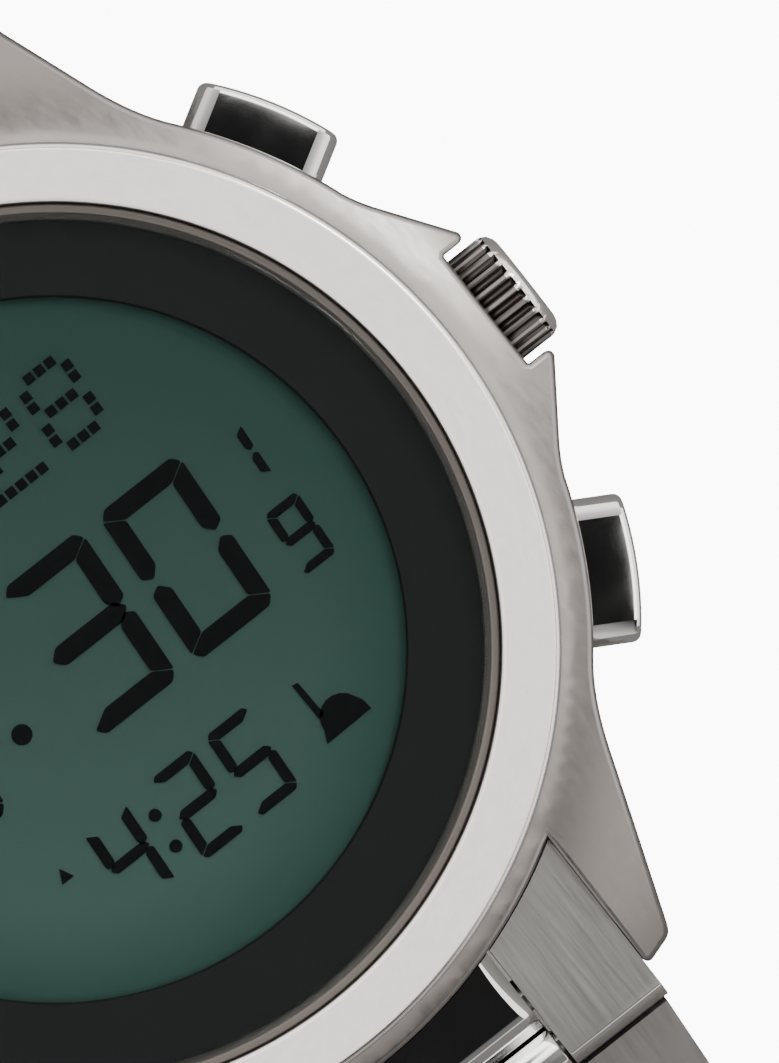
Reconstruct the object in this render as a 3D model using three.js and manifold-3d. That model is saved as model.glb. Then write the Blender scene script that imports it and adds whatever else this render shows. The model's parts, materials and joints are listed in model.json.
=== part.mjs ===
// Round digital wristwatch on a steel bracelet, closed as it is worn.
// Millimetres. +Z leaves through the display, +X points at the crown (3 o'clock), +Y at 12 o'clock.
// The origin is the middle of the case back's outer face.

import * as THREE from 'three';
import { mergeVertices } from 'three/addons/utils/BufferGeometryUtils.js';
import Module from 'manifold-3d';

const wasm = await Module();
wasm.setup();

// ---------------------------------------------------------------- driving dimensions

const GAP = 0.3;                 // space between pieces that rest on each other
const ROUND = 40;                // sides of a round piece
const FINE_ROUND = 60;           // sides of the bezel and the case dome
const SMALL_ROUND = 12;          // sides of a stem, seal or pin

// case
const CASE_RADIUS = 21.88;
const CASE_BOTTOM = 0.8;
const CASE_TOP = 9.4;
const CAVITY_RADIUS = 17.4;
const LUG_GAP = 22.1;            // free width between the lugs, for a 22 mm bracelet
const LUG_END = 25.0;            // lug tip, measured from the case axis along Y
const LUG_TOP_RADIUS = 28.2;     // the case top falls away to here
const LUG_TOP_LOW = 4.0;
const BRACELET_SIDE_RADIUS = 21.4;
const GUARD_REACH = 23.4;        // crown guards, along X
const GUARD_HALF_GAP = 2.8;
const GUARD_WALL = 22.15;        // case wall behind the crown, between the guards
const GUARD_FOOT = [21.34, 6.03];
const FLANK_FOOT = [20.72, 7.03];
const DOME_START = 20.6;         // the case top is flat inside this radius, under the bezel

// bezel and glass
const BEZEL_OUTER = 20.54;
const BEZEL_INNER = 18.12;
const BEZEL_TOP = 12.0;
const BEZEL_BOTTOM = 9.65;
const BEZEL_LEDGE = [17.0, 10.02];     // inner ledge, radius and top
const CRYSTAL_RADIUS = 17.6;
const CRYSTAL_BOTTOM = 10.75;
const CRYSTAL_TOP = 11.85;
const WINDOW_RADIUS = 14.27;     // visible part of the liquid crystal panel
const MASK_RADIUS = 17.4;
const MASK_LAYER = [10.15, 10.45];
const GASKET_RADII = [17.68, 18.04];
const GASKET_LAYER = [10.3, 11.4];
const PANEL_RADIUS = 15.6;
const PANEL_LAYER = [8.7, 9.85];
const LIGHT_RADIUS = 15.2;
const LIGHT_LAYER = [7.8, 8.4];

// crown and pushers
const CONTROL_HEIGHT = 5.7;      // height of every control's axis
const STEM_RADIUS = 0.8;
const STEM_END = 16.7;
const CLIP_LAYER = [16.8, 17.05];
const SPRING_REACH = [19.2, 21.35];
const SPRING_COIL = 1.2;
const SPRING_WIRE = 0.13;
const CROWN_RADIUS = 2.5;
const CROWN_BASE = 22.04;
const CROWN_END = 24.38;
const CROWN_FLUTES = 20;
const FLUTE_DEPTH = 0.24;
const TUBE_RADII = [1.15, 1.45];
const CROWN_TRAVEL = 0.6;
const PUSHER_ANGLE = 30;         // degrees from the crown
const PUSHER_WIDTH = 6.1;
const PUSHER_FLAT = 4.3;         // flat part of the top; the ends roll down from it
const PUSHER_HEIGHT = 3.6;
const PUSHER_END = 23.94;
const PUSHER_BASE = 21.6;
const PUSHER_TRAVEL = 0.8;

// case back
const BACK_RADIUS = 19.4;
const BACK_THICKNESS = 1.6;
const SPIGOT_RADIUS = 17.9;
const SPIGOT_TOP = 2.9;
const BACK_FLOOR = 1.2;
const BACK_SEAL_RADII = [18.5, 19.0];
const BACK_SEAL_LAYER = [1.25, 1.8];
const BACK_NOTCHES = 6;

// bracelet
const LINK_PITCH = 9.2;
const LINK_THICKNESS = 2.6;
const LINK_COUNT = 5;            // links on each side
const FIRST_LINK_ANGLE = 58;     // degrees below the horizontal, link 1
const LINK_TURN = 22;            // degrees more for each further link
const PIVOT_Y = 25.13;           // first link pivot
const PIVOT_Z = 2.9;
const END_LINK_RADIUS = 21.6;
const CENTRE_WIDTH = 12.4;       // polished middle of every link
const WING_INNER = 6.35;
const HEAD_WIDTH = 21.7;         // bracelet width at the case
const CLASP_WIDTH = 18.6;        // bracelet width at the clasp
const PIN_RADIUS = 0.5;
const PIN_HOLE = 0.62;
const SPRING_BAR_Y = 22.8;
const SPRING_BAR_Z = 4.4;
const SPRING_BAR_RADIUS = 0.75;
const SPRING_BAR_TIP = 0.42;
const SPRING_BAR_HOLE = 0.55;
const WING_CLEARANCE = 0.75;     // the wings' flat face starts this far from a pivot
const PIN_INSET = 0.35;          // a pin stops short of the link's side by this much

// folding clasp: three curved layers on one centre of curvature
const CLASP_PIVOT_RADIUS = 59.6;
const BASE_LAYER = [57.9, 58.6];
const MIDDLE_LAYER = [59.4, 60.1];
const COVER_LAYER = [60.9, 61.7];
const COVER_WALL_TOP = 57.6;
const COVER_HALF_LENGTH = 15.4;
const BLADE_HINGE_Y = 13.2;
const INNER_HINGE_RADIUS = 59.0;
const OUTER_HINGE_RADIUS = 59.9;
const BASE_HALF_WIDTH = 5.0;
const MIDDLE_HALF_WIDTH = 6.3;
const OUTER_PIN_RADIUS = 0.36;
const OUTER_PIN_HOLE = 0.45;
const HINGE_RELIEF = 1.2;        // radius cut away round the other blade's knuckle
const BLADE_KNUCKLE = 0.9;

// ---------------------------------------------------------------- materials

function finish(color, roughness, metalness) {
  return new THREE.MeshStandardMaterial({ color, roughness, metalness });
}

const MATERIALS = {
  satinSteel: finish(0xb4b0ab, 0.38, 1.0),
  bezelSteel: finish(0xd2cecb, 0.34, 1.0),
  brushedSteel: finish(0x8c8b88, 0.42, 1.0),
  polishedSteel: finish(0xc8c8c6, 0.08, 1.0),
  springSteel: finish(0x9a9a98, 0.3, 1.0),
  glass: finish(0xe6eeee, 0.05, 0.0),
  liquidCrystal: finish(0x38564e, 0.35, 0.0),
  backlight: finish(0xd8e4dc, 0.5, 0.0),
  maskBlack: finish(0x201f21, 0.45, 0.0),
  sealRubber: finish(0x1b1b1c, 0.8, 0.0),
  housingPlastic: finish(0x24262a, 0.6, 0.0),
  boardGreen: finish(0x1f5a3c, 0.5, 0.0),
  chipBlack: finish(0x101114, 0.35, 0.0),
  batterySteel: finish(0xc4c6c6, 0.25, 1.0),
  brass: finish(0xc2a04e, 0.35, 1.0),
};

// ---------------------------------------------------------------- geometry helpers

const radians = THREE.MathUtils.degToRad;

// Closed geometry to a solid that can be cut and joined.
function solid(geometry) {
  const bare = geometry.clone();
  bare.deleteAttribute('normal');
  bare.deleteAttribute('uv');
  const merged = mergeVertices(bare, 1e-4);
  const index = merged.index.array;
  const triangles = [];
  for (let i = 0; i < index.length; i += 3) {
    const [a, b, c] = [index[i], index[i + 1], index[i + 2]];
    if (a !== b && b !== c && c !== a) triangles.push(a, b, c);
  }
  const vertProperties = new Float32Array(merged.attributes.position.array);
  const triVerts = new Uint32Array(triangles);
  return new wasm.Manifold(new wasm.Mesh({ numProp: 3, vertProperties, triVerts }));
}

function surface(body) {
  const result = body.getMesh();
  const geometry = new THREE.BufferGeometry();
  const places = new Float32Array(result.vertProperties);
  geometry.setAttribute('position', new THREE.BufferAttribute(places, 3));
  geometry.setIndex(new THREE.BufferAttribute(new Uint32Array(result.triVerts), 1));
  geometry.computeVertexNormals();
  return geometry;
}

// Solid of revolution about Z from [radius, z] points, listed anticlockwise.
function revolved(points, sides = ROUND) {
  const profile = points.map(([radius, z]) => new THREE.Vector2(radius, z));
  return new THREE.LatheGeometry(profile, sides).rotateX(Math.PI / 2);
}

function ring(inner, outer, bottom, top, sides = ROUND) {
  return revolved([[inner, bottom], [outer, bottom], [outer, top], [inner, top], [inner, bottom]], sides);
}

function disc(radius, bottom, top, sides = ROUND) {
  return revolved([[0, bottom], [radius, bottom], [radius, top], [0, top]], sides);
}

// Turns a solid of revolution about Z so that its axis is X, at the height of the controls.
function ontoControlAxis(geometry) {
  return geometry.rotateY(Math.PI / 2).translate(0, 0, CONTROL_HEIGHT);
}

function block(x0, x1, y0, y1, z0, z1) {
  const geometry = new THREE.BoxGeometry(x1 - x0, y1 - y0, z1 - z0);
  return geometry.translate((x0 + x1) / 2, (y0 + y1) / 2, (z0 + z1) / 2);
}

// Extrusion along X of a shape drawn in the Y-Z plane.
const SIDE_ON = new THREE.Matrix4().makeBasis(
  new THREE.Vector3(0, 1, 0), new THREE.Vector3(0, 0, 1), new THREE.Vector3(1, 0, 0));

function sideExtrusion(shape, x0, x1, curveSegments = 5) {
  const geometry = new THREE.ExtrudeGeometry(shape, { depth: x1 - x0, bevelEnabled: false, curveSegments });
  return geometry.translate(0, 0, x0).applyMatrix4(SIDE_ON);
}

// Plain pin along X.
function crossPin(radius, halfLength, y, z, sides = 12) {
  const geometry = new THREE.CylinderGeometry(radius, radius, 2 * halfLength, sides);
  return geometry.rotateZ(Math.PI / 2).translate(0, y, z);
}

function circlePath(y, z, radius) {
  return new THREE.Path().absarc(y, z, radius, 0, 2 * Math.PI, true);
}

// ---------------------------------------------------------------- case

// Half of the case outline, from the crown side to the left side, on the side of positive Y.
function halfOutline() {
  const path = new THREE.Path();
  const lugStart = radians(39);
  const lugSide = [15.28, 16.98];
  const lugControl = [16.01, 14.99];
  const lugInner = LUG_GAP / 2;
  const innerAngle = Math.acos(lugInner / BRACELET_SIDE_RADIUS);
  const lugTip = [[12.75, LUG_END - 1.0], [12.45, LUG_END - 0.4], [lugInner, LUG_END]];
  const leftRoot = [-CASE_RADIUS * Math.cos(lugStart), CASE_RADIUS * Math.sin(lugStart)];
  path.moveTo(GUARD_WALL, 0);
  path.lineTo(GUARD_WALL, GUARD_HALF_GAP);
  path.lineTo(GUARD_REACH - 0.2, GUARD_HALF_GAP);
  path.lineTo(GUARD_REACH, GUARD_HALF_GAP + 0.25);
  path.lineTo(...GUARD_FOOT);
  path.lineTo(...FLANK_FOOT);
  path.absarc(0, 0, CASE_RADIUS, Math.atan2(FLANK_FOOT[1], FLANK_FOOT[0]), lugStart, false);
  path.quadraticCurveTo(...lugControl, ...lugSide);
  for (const [x, y] of lugTip) path.lineTo(x, y);
  path.absarc(0, 0, BRACELET_SIDE_RADIUS, innerAngle, Math.PI - innerAngle, false);
  for (const [x, y] of [...lugTip].reverse()) path.lineTo(-x, y);
  path.lineTo(-lugSide[0], lugSide[1]);
  path.quadraticCurveTo(-lugControl[0], lugControl[1], ...leftRoot);
  path.absarc(0, 0, CASE_RADIUS, Math.PI - lugStart, Math.PI, false);
  return path.getPoints(6);
}

function caseOutline() {
  const upper = halfOutline();
  const lower = upper.slice(1, -1).reverse().map((point) => new THREE.Vector2(point.x, -point.y));
  const points = [];
  for (const point of [...upper, ...lower]) {
    const last = points.at(-1);
    if (!last || last.distanceTo(point) > 0.02) points.push(point);
  }
  return new THREE.Shape(points);
}

// The case top is one surface of revolution: flat under the bezel, then falling away to the lug tips.
function caseDome() {
  const foot = new THREE.Vector2(LUG_TOP_RADIUS, LUG_TOP_LOW);
  const shoulder = new THREE.Vector2(24.0, 8.6);
  const crest = new THREE.Vector2(DOME_START, CASE_TOP);
  const fall = new THREE.QuadraticBezierCurve(foot, shoulder, crest);
  const top = fall.getPoints(4).map((point) => [point.x, point.y]);
  const bottom = [[0, CASE_BOTTOM], [DOME_START, CASE_BOTTOM], [LUG_TOP_RADIUS, 1.4]];
  return revolved([...bottom, ...top, [0, CASE_TOP]], FINE_ROUND);
}

function pusherPocket() {
  const half = PUSHER_WIDTH / 2 + GAP;
  const tall = PUSHER_HEIGHT / 2 + GAP;
  const floor = PUSHER_BASE - PUSHER_TRAVEL - GAP;
  const pocket = block(floor, 25, -half, half, CONTROL_HEIGHT - tall, CONTROL_HEIGHT + tall);
  const springBore = ontoControlAxis(disc(SPRING_COIL + 0.4, 19.0, floor + GAP, SMALL_ROUND));
  const stemBore = ontoControlAxis(disc(STEM_RADIUS + 0.4, 16.8, 19.3, SMALL_ROUND));
  return solid(pocket).add(solid(springBore)).add(solid(stemBore));
}

function crownPocket() {
  const floor = CROWN_BASE - CROWN_TRAVEL - GAP;
  const recess = ontoControlAxis(disc(CROWN_RADIUS + 0.36, floor, 25, 24));
  const tubeBore = ontoControlAxis(disc(TUBE_RADII[1] + 0.15, 16.8, floor + 0.2, SMALL_ROUND));
  return solid(recess).add(solid(tubeBore));
}

function caseMiddle() {
  const outline = new THREE.ExtrudeGeometry(caseOutline(), { depth: 12, bevelEnabled: false });
  const cavity = revolved([
    [0, 0.2], [BACK_RADIUS + GAP, 0.2], [BACK_RADIUS + GAP, BACK_THICKNESS + GAP],
    [SPIGOT_RADIUS + GAP, BACK_THICKNESS + GAP], [SPIGOT_RADIUS + GAP, SPIGOT_TOP + GAP],
    [CAVITY_RADIUS, SPIGOT_TOP + GAP], [CAVITY_RADIUS, CASE_TOP + 1], [0, CASE_TOP + 1],
  ]);
  let body = solid(outline).intersect(solid(caseDome())).subtract(solid(cavity));
  for (const side of [1, -1]) {
    body = body.subtract(pusherPocket().rotate([0, 0, side * PUSHER_ANGLE]));
    const barHole = crossPin(SPRING_BAR_HOLE, 12.2, side * SPRING_BAR_Y, SPRING_BAR_Z);
    body = body.subtract(solid(barHole));
  }
  return surface(body.subtract(crownPocket()));
}

function bezel() {
  const [ledgeRadius, ledgeTop] = BEZEL_LEDGE;
  const chamfer = 0.3;
  return revolved([
    [ledgeRadius, BEZEL_BOTTOM], [BEZEL_OUTER, BEZEL_BOTTOM], [BEZEL_OUTER, BEZEL_TOP - chamfer],
    [BEZEL_OUTER - chamfer, BEZEL_TOP], [BEZEL_INNER + 0.15, BEZEL_TOP], [BEZEL_INNER, BEZEL_TOP - 0.15],
    [BEZEL_INNER, ledgeTop], [ledgeRadius, ledgeTop], [ledgeRadius, BEZEL_BOTTOM],
  ], FINE_ROUND);
}

function crystal() {
  const chamfer = 0.25;
  return revolved([
    [0, CRYSTAL_BOTTOM], [CRYSTAL_RADIUS, CRYSTAL_BOTTOM], [CRYSTAL_RADIUS, CRYSTAL_TOP - chamfer],
    [CRYSTAL_RADIUS - chamfer, CRYSTAL_TOP], [0, CRYSTAL_TOP],
  ], FINE_ROUND);
}

// ---------------------------------------------------------------- case back

function caseBack() {
  const body = revolved([
    [0, 0], [BACK_RADIUS - 0.8, 0], [BACK_RADIUS, 0.5], [BACK_RADIUS, BACK_THICKNESS],
    [19.1, BACK_THICKNESS], [19.1, 1.1], [18.4, 1.1], [18.4, BACK_THICKNESS],
    [SPIGOT_RADIUS, BACK_THICKNESS], [SPIGOT_RADIUS, SPIGOT_TOP], [16.5, SPIGOT_TOP],
    [16.5, BACK_FLOOR], [0, BACK_FLOOR],
  ]);
  let result = solid(body);
  for (let i = 0; i < BACK_NOTCHES; i += 1) {
    const notch = solid(block(16.6, 20, -1.2, 1.2, -1, 0.6));
    result = result.subtract(notch.rotate([0, 0, 30 + (360 / BACK_NOTCHES) * i]));
  }
  return surface(result);
}

// ---------------------------------------------------------------- movement, inside the case

const BATTERY_CENTRE = [-3.5, 0];
const FLOOR_BOTTOM = 6.85;       // the housing's floor carries the light above and the board below
const FLOOR_TOP = 7.5;

function moduleHousing() {
  const rim = solid(revolved([
    [0, FLOOR_BOTTOM], [15.7, FLOOR_BOTTOM], [15.7, 3.2], [17.0, 3.2], [17.0, 9.3],
    [15.9, 9.3], [15.9, FLOOR_TOP], [0, FLOOR_TOP],
  ]));
  let body = rim.subtract(solid(block(-8.3, 8.3, 12.2, 14.3, 6, 8)));
  for (const angle of [PUSHER_ANGLE, 0, -PUSHER_ANGLE]) {
    body = body.subtract(solid(block(15, 18, -2.1, 2.1, 3.0, 8.0)).rotate([0, 0, angle]));
  }
  return surface(body);
}

function circuitBoard() {
  const board = solid(disc(15.2, 5.85, 6.5, 36));
  return surface(board.subtract(solid(block(-14, -8, 11, 16, 5, 7))));
}

function batteryCell() {
  const geometry = revolved([
    [0, 3.0], [9.0, 3.0], [9.0, 3.25], [9.8, 3.25], [10.0, 3.45], [10.0, 5.4], [9.8, 5.55], [0, 5.55],
  ], 36);
  return geometry.translate(BATTERY_CENTRE[0], BATTERY_CENTRE[1], 0);
}

// Flat strap under the cell, with one leg up each side to the board.
function batteryStrap() {
  const low = 2.4;
  const leg = 10.35;
  const high = 5.6;
  const sheet = 0.3;
  const corners = [
    [-leg - sheet, low], [leg + sheet, low], [leg + sheet, high], [leg, high],
    [leg, low + sheet], [-leg, low + sheet], [-leg, high], [-leg - sheet, high],
  ];
  const shape = new THREE.Shape(corners.map(([y, z]) => new THREE.Vector2(y, z)));
  return sideExtrusion(shape, BATTERY_CENTRE[0] - 2, BATTERY_CENTRE[0] + 2);
}

// ---------------------------------------------------------------- controls

function stem(from) {
  return solid(ontoControlAxis(disc(STEM_RADIUS, STEM_END, from, SMALL_ROUND)));
}

// Flat top whose two ends roll down, seen from outside the case; the same below.
function pusherProfile() {
  const half = PUSHER_WIDTH / 2;
  const tall = PUSHER_HEIGHT / 2;
  const roll = [[half - 0.35, tall - 0.2], [half - 0.08, tall - 0.55], [half, tall - 1.05]];
  const quarter = [[PUSHER_FLAT / 2, tall], ...roll];
  const upper = [...quarter.map(([y, z]) => [-y, z]).reverse(), ...quarter];
  const corners = [...upper, ...upper.map(([y, z]) => [-y, -z])];
  return new THREE.Shape(corners.map(([y, z]) => new THREE.Vector2(y, z + CONTROL_HEIGHT)));
}

function pusher() {
  const half = PUSHER_WIDTH / 2;
  const edge = 0.3;
  const face = PUSHER_END - edge - 0.1;
  const side = half - edge;
  const outline = new THREE.Shape();
  outline.moveTo(PUSHER_BASE + edge, -side);
  outline.lineTo(face - 0.35, -side);
  outline.quadraticCurveTo(face, -side, face, -side + 0.4);
  outline.quadraticCurveTo(face + 0.2, 0, face, side - 0.4);
  outline.quadraticCurveTo(face, side, face - 0.35, side);
  outline.lineTo(PUSHER_BASE + edge, side);
  const bevel = { bevelThickness: edge, bevelSize: edge, bevelSegments: 2 };
  const depth = PUSHER_HEIGHT - 2 * edge;
  const plan = new THREE.ExtrudeGeometry(outline, { depth, curveSegments: 5, ...bevel });
  plan.translate(0, 0, CONTROL_HEIGHT - depth / 2);
  const cap = solid(plan).intersect(solid(sideExtrusion(pusherProfile(), PUSHER_BASE, PUSHER_END + 1)));
  return surface(cap.add(stem(PUSHER_BASE + 0.4)));
}

// Coil spring round the pusher's stem, between its bore and the button.
function pusherSpring() {
  const turns = 4;
  const stepsPerTurn = 7;
  const steps = turns * stepsPerTurn;
  const points = [];
  for (let i = 0; i <= steps; i += 1) {
    const angle = (2 * Math.PI * i) / stepsPerTurn;
    const along = THREE.MathUtils.lerp(...SPRING_REACH, i / steps);
    const height = CONTROL_HEIGHT + SPRING_COIL * Math.sin(angle);
    points.push(new THREE.Vector3(along, SPRING_COIL * Math.cos(angle), height));
  }
  const wire = new THREE.Shape().absarc(0, 0, SPRING_WIRE, 0, 2 * Math.PI, false);
  const extrudePath = new THREE.CatmullRomCurve3(points);
  return new THREE.ExtrudeGeometry(wire, { steps, extrudePath, curveSegments: 2 });
}

function stemSeal() {
  return ontoControlAxis(ring(STEM_RADIUS + 0.06, 1.12, 17.6, 18.0, SMALL_ROUND));
}

function stemClip() {
  return ontoControlAxis(ring(STEM_RADIUS + 0.06, 1.5, ...CLIP_LAYER, SMALL_ROUND));
}

function crown() {
  const points = [];
  for (let i = 0; i < CROWN_FLUTES; i += 1) {
    for (const [step, depth] of [[0, FLUTE_DEPTH], [0.3, FLUTE_DEPTH], [0.5, 0], [0.8, 0]]) {
      const angle = (2 * Math.PI * (i + step)) / CROWN_FLUTES;
      const radius = CROWN_RADIUS - depth;
      points.push(new THREE.Vector2(radius * Math.cos(angle), radius * Math.sin(angle)));
    }
  }
  const depth = CROWN_END - CROWN_BASE;
  const fluted = new THREE.ExtrudeGeometry(new THREE.Shape(points), { depth, bevelEnabled: false });
  fluted.translate(0, 0, CROWN_BASE).rotateZ(radians(3));
  const envelope = revolved([
    [0, CROWN_BASE], [CROWN_RADIUS - 0.2, CROWN_BASE], [CROWN_RADIUS, CROWN_BASE + 0.2],
    [CROWN_RADIUS, CROWN_END - 0.45], [CROWN_RADIUS - 0.45, CROWN_END], [0, CROWN_END],
  ], 24);
  const socket = disc(1.95, CROWN_BASE - 1, 23.5, SMALL_ROUND);
  const head = solid(fluted).intersect(solid(envelope)).subtract(solid(socket));
  const shaft = solid(disc(STEM_RADIUS, STEM_END, 23.7, SMALL_ROUND));
  return surface(head.add(shaft)).rotateY(Math.PI / 2).translate(0, 0, CONTROL_HEIGHT);
}

// ---------------------------------------------------------------- bracelet

// Fitted link between the lugs: two brushed wings and a polished middle, pierced for the spring bar.
function endLink() {
  const wingTop = [[26.15, 4.1], [25.75, 4.95], [25.0, 5.45], [21.5, 7.05], [18.0, 8.5]];
  const middleTop = [[24.0, 5.3], [21.5, 7.05], [18.0, 8.5]];
  const knuckle = LINK_THICKNESS / 2;
  const wing = new THREE.Shape();
  wing.moveTo(18.0, PIVOT_Z - knuckle);
  wing.lineTo(PIVOT_Y, PIVOT_Z - knuckle);
  wing.absarc(PIVOT_Y, PIVOT_Z, knuckle, -Math.PI / 2, radians(30), false);
  for (const point of wingTop) wing.lineTo(...point);
  wing.holes.push(circlePath(PIVOT_Y, PIVOT_Z, PIN_HOLE));
  const middle = new THREE.Shape();
  middle.moveTo(18.0, PIVOT_Z - knuckle);
  middle.lineTo(PIVOT_Y - WING_CLEARANCE, PIVOT_Z - knuckle);
  middle.absarc(PIVOT_Y, PIVOT_Z, knuckle + 0.2, radians(240), radians(112), true);
  for (const point of middleTop) middle.lineTo(...point);
  const halfWidth = LUG_GAP / 2 - 0.2;
  let body = solid(sideExtrusion(middle, -CENTRE_WIDTH / 2, CENTRE_WIDTH / 2));
  for (const side of [1, -1]) {
    const [low, high] = [side * WING_INNER, side * halfWidth].sort((a, b) => a - b);
    body = body.add(solid(sideExtrusion(wing, low, high)));
  }
  body = body.add(solid(block(-7, 7, 19, 23.2, 2.4, 5.2)));
  body = body.subtract(solid(disc(END_LINK_RADIUS, 0, 12, FINE_ROUND)));
  const barHole = crossPin(SPRING_BAR_RADIUS + 0.1, 15, SPRING_BAR_Y, SPRING_BAR_Z);
  return surface(body.subtract(solid(barHole)));
}

// Sprung tube with a thin pivot at each end, one solid.
function springBar() {
  const tube = solid(crossPin(SPRING_BAR_RADIUS, 10.7, SPRING_BAR_Y, SPRING_BAR_Z));
  const tips = solid(crossPin(SPRING_BAR_TIP, 11.9, SPRING_BAR_Y, SPRING_BAR_Z));
  return surface(tube.add(tips));
}

// Pivots of the chain on the side of positive Y, from the end link to the clasp.
function chainPivots() {
  const pivots = [[PIVOT_Y, PIVOT_Z]];
  for (let i = 0; i < LINK_COUNT; i += 1) {
    const angle = radians(FIRST_LINK_ANGLE + LINK_TURN * i);
    const [y, z] = pivots.at(-1);
    pivots.push([y + LINK_PITCH * Math.cos(angle), z - LINK_PITCH * Math.sin(angle)]);
  }
  return pivots;
}

const PIVOTS = chainPivots();
const CLASP_PIVOT = PIVOTS[LINK_COUNT];

const widthAt = (step) => THREE.MathUtils.lerp(HEAD_WIDTH, CLASP_WIDTH, step / LINK_COUNT);

// One link drawn along +Y from its pivot at the origin; its width narrows towards the clasp.
function link(number) {
  const half = LINK_THICKNESS / 2;
  const hollow = half + 0.2;
  const wing = new THREE.Shape();
  wing.moveTo(WING_CLEARANCE, -half);
  wing.lineTo(LINK_PITCH, -half);
  wing.absarc(LINK_PITCH, 0, half, -Math.PI / 2, Math.PI / 2, false);
  wing.lineTo(WING_CLEARANCE, half);
  wing.absarc(0, 0, hollow, radians(60), radians(-60), true);
  wing.holes.push(circlePath(LINK_PITCH, 0, PIN_HOLE));
  const centre = new THREE.Shape();
  centre.moveTo(0, half);
  centre.absarc(0, 0, half, Math.PI / 2, 1.5 * Math.PI, false);
  centre.lineTo(LINK_PITCH - WING_CLEARANCE, -half);
  centre.absarc(LINK_PITCH, 0, hollow, radians(240), radians(120), true);
  centre.holes.push(circlePath(0, 0, PIN_HOLE));
  let body = solid(sideExtrusion(centre, -CENTRE_WIDTH / 2, CENTRE_WIDTH / 2));
  for (const side of [1, -1]) {
    const [low, high] = [side * WING_INNER, side * HEAD_WIDTH / 2].sort((a, b) => a - b);
    body = body.add(solid(sideExtrusion(wing, low, high)));
  }
  body = body.add(solid(block(-6.8, 6.8, 2.0, LINK_PITCH - 2.0, -0.9, 0.9)));
  const geometry = surface(body);
  const position = geometry.attributes.position;
  for (let i = 0; i < position.count; i += 1) {
    const step = number - 1 + position.getY(i) / LINK_PITCH;
    position.setX(i, (position.getX(i) * widthAt(step)) / HEAD_WIDTH);
  }
  return geometry;
}

// ---------------------------------------------------------------- clasp

const CLASP_CENTRE_Z = CLASP_PIVOT[1] + Math.sqrt(CLASP_PIVOT_RADIUS ** 2 - CLASP_PIVOT[0] ** 2);

// Place on a layer of the clasp: its Z where it passes y.
const layerZ = (radius, y) => CLASP_CENTRE_Z - Math.sqrt(radius ** 2 - y ** 2);

// Curved plate between two radii and two Y values.
function curvedPlate([inner, outer], y0, y1, x0, x1) {
  const steps = 6;
  const shape = new THREE.Shape();
  for (let i = 0; i <= steps; i += 1) {
    const y = THREE.MathUtils.lerp(y0, y1, i / steps);
    if (i === 0) shape.moveTo(y, layerZ(outer, y));
    else shape.lineTo(y, layerZ(outer, y));
  }
  for (let i = steps; i >= 0; i -= 1) {
    const y = THREE.MathUtils.lerp(y0, y1, i / steps);
    shape.lineTo(y, layerZ(inner, y));
  }
  return solid(sideExtrusion(shape, x0, x1));
}

const INNER_HINGE = [-BLADE_HINGE_Y, layerZ(INNER_HINGE_RADIUS, BLADE_HINGE_Y)];
const OUTER_HINGE = [BLADE_HINGE_Y, layerZ(OUTER_HINGE_RADIUS, BLADE_HINGE_Y)];

function knuckle([y, z], radius, x0, x1) {
  return solid(crossPin(radius, (x1 - x0) / 2, y, z, 16).translate((x0 + x1) / 2, 0, 0));
}

function claspBaseBlade() {
  const [pivotY, pivotZ] = CLASP_PIVOT;
  const eye = LINK_THICKNESS / 2;
  const half = BASE_HALF_WIDTH;
  const tongue = half - 2.4;
  const plateEnd = pivotY - 0.45;
  let body = curvedPlate(BASE_LAYER, INNER_HINGE[0], plateEnd, -half, half);
  body = body.subtract(knuckle(INNER_HINGE, HINGE_RELIEF, tongue, half + 1));
  body = body.subtract(knuckle(INNER_HINGE, HINGE_RELIEF, -half - 1, -tongue));
  body = body.add(knuckle(INNER_HINGE, BLADE_KNUCKLE, -tongue, tongue));
  body = body.add(knuckle(CLASP_PIVOT, eye, -half, half));
  body = body.add(solid(block(-half, half, plateEnd - 0.85, plateEnd, pivotZ, pivotZ + 1.6)));
  body = body.subtract(knuckle(INNER_HINGE, PIN_HOLE, -8, 8));
  return surface(body.subtract(knuckle(CLASP_PIVOT, PIN_HOLE, -8, 8)));
}

function claspMiddleBlade() {
  const half = MIDDLE_HALF_WIDTH;
  const fork = 2.9;
  const window = block(-3.4, 3.4, -6, 6, -45, -30);
  let body = curvedPlate(MIDDLE_LAYER, INNER_HINGE[0], OUTER_HINGE[0], -half, half);
  body = body.subtract(knuckle(INNER_HINGE, HINGE_RELIEF, -fork, fork));
  body = body.add(knuckle(INNER_HINGE, BLADE_KNUCKLE, fork, half));
  body = body.add(knuckle(INNER_HINGE, BLADE_KNUCKLE, -half, -fork));
  body = body.add(knuckle(OUTER_HINGE, 0.75, -half, half));
  body = body.subtract(solid(window));
  body = body.subtract(knuckle(INNER_HINGE, PIN_HOLE, -8, 8));
  return surface(body.subtract(knuckle(OUTER_HINGE, OUTER_PIN_HOLE, -8, 8)));
}

function claspCover() {
  const half = CLASP_WIDTH / 2 + 0.1;
  const wall = 0.8;
  const layers = [COVER_WALL_TOP, COVER_LAYER[1]];
  let body = curvedPlate(COVER_LAYER, -COVER_HALF_LENGTH, COVER_HALF_LENGTH, -half, half);
  body = body.add(curvedPlate(layers, -COVER_HALF_LENGTH, COVER_HALF_LENGTH, half - wall, half));
  body = body.add(curvedPlate(layers, -COVER_HALF_LENGTH, COVER_HALF_LENGTH, -half, -half + wall));
  return surface(body.subtract(knuckle(OUTER_HINGE, OUTER_PIN_HOLE, -12, 12)));
}

// ---------------------------------------------------------------- assembly

const watch = new THREE.Group();

function place(parent, name, geometry, material) {
  const mesh = new THREE.Mesh(geometry, MATERIALS[material]);
  mesh.name = name;
  parent.add(mesh);
  return mesh;
}

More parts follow.
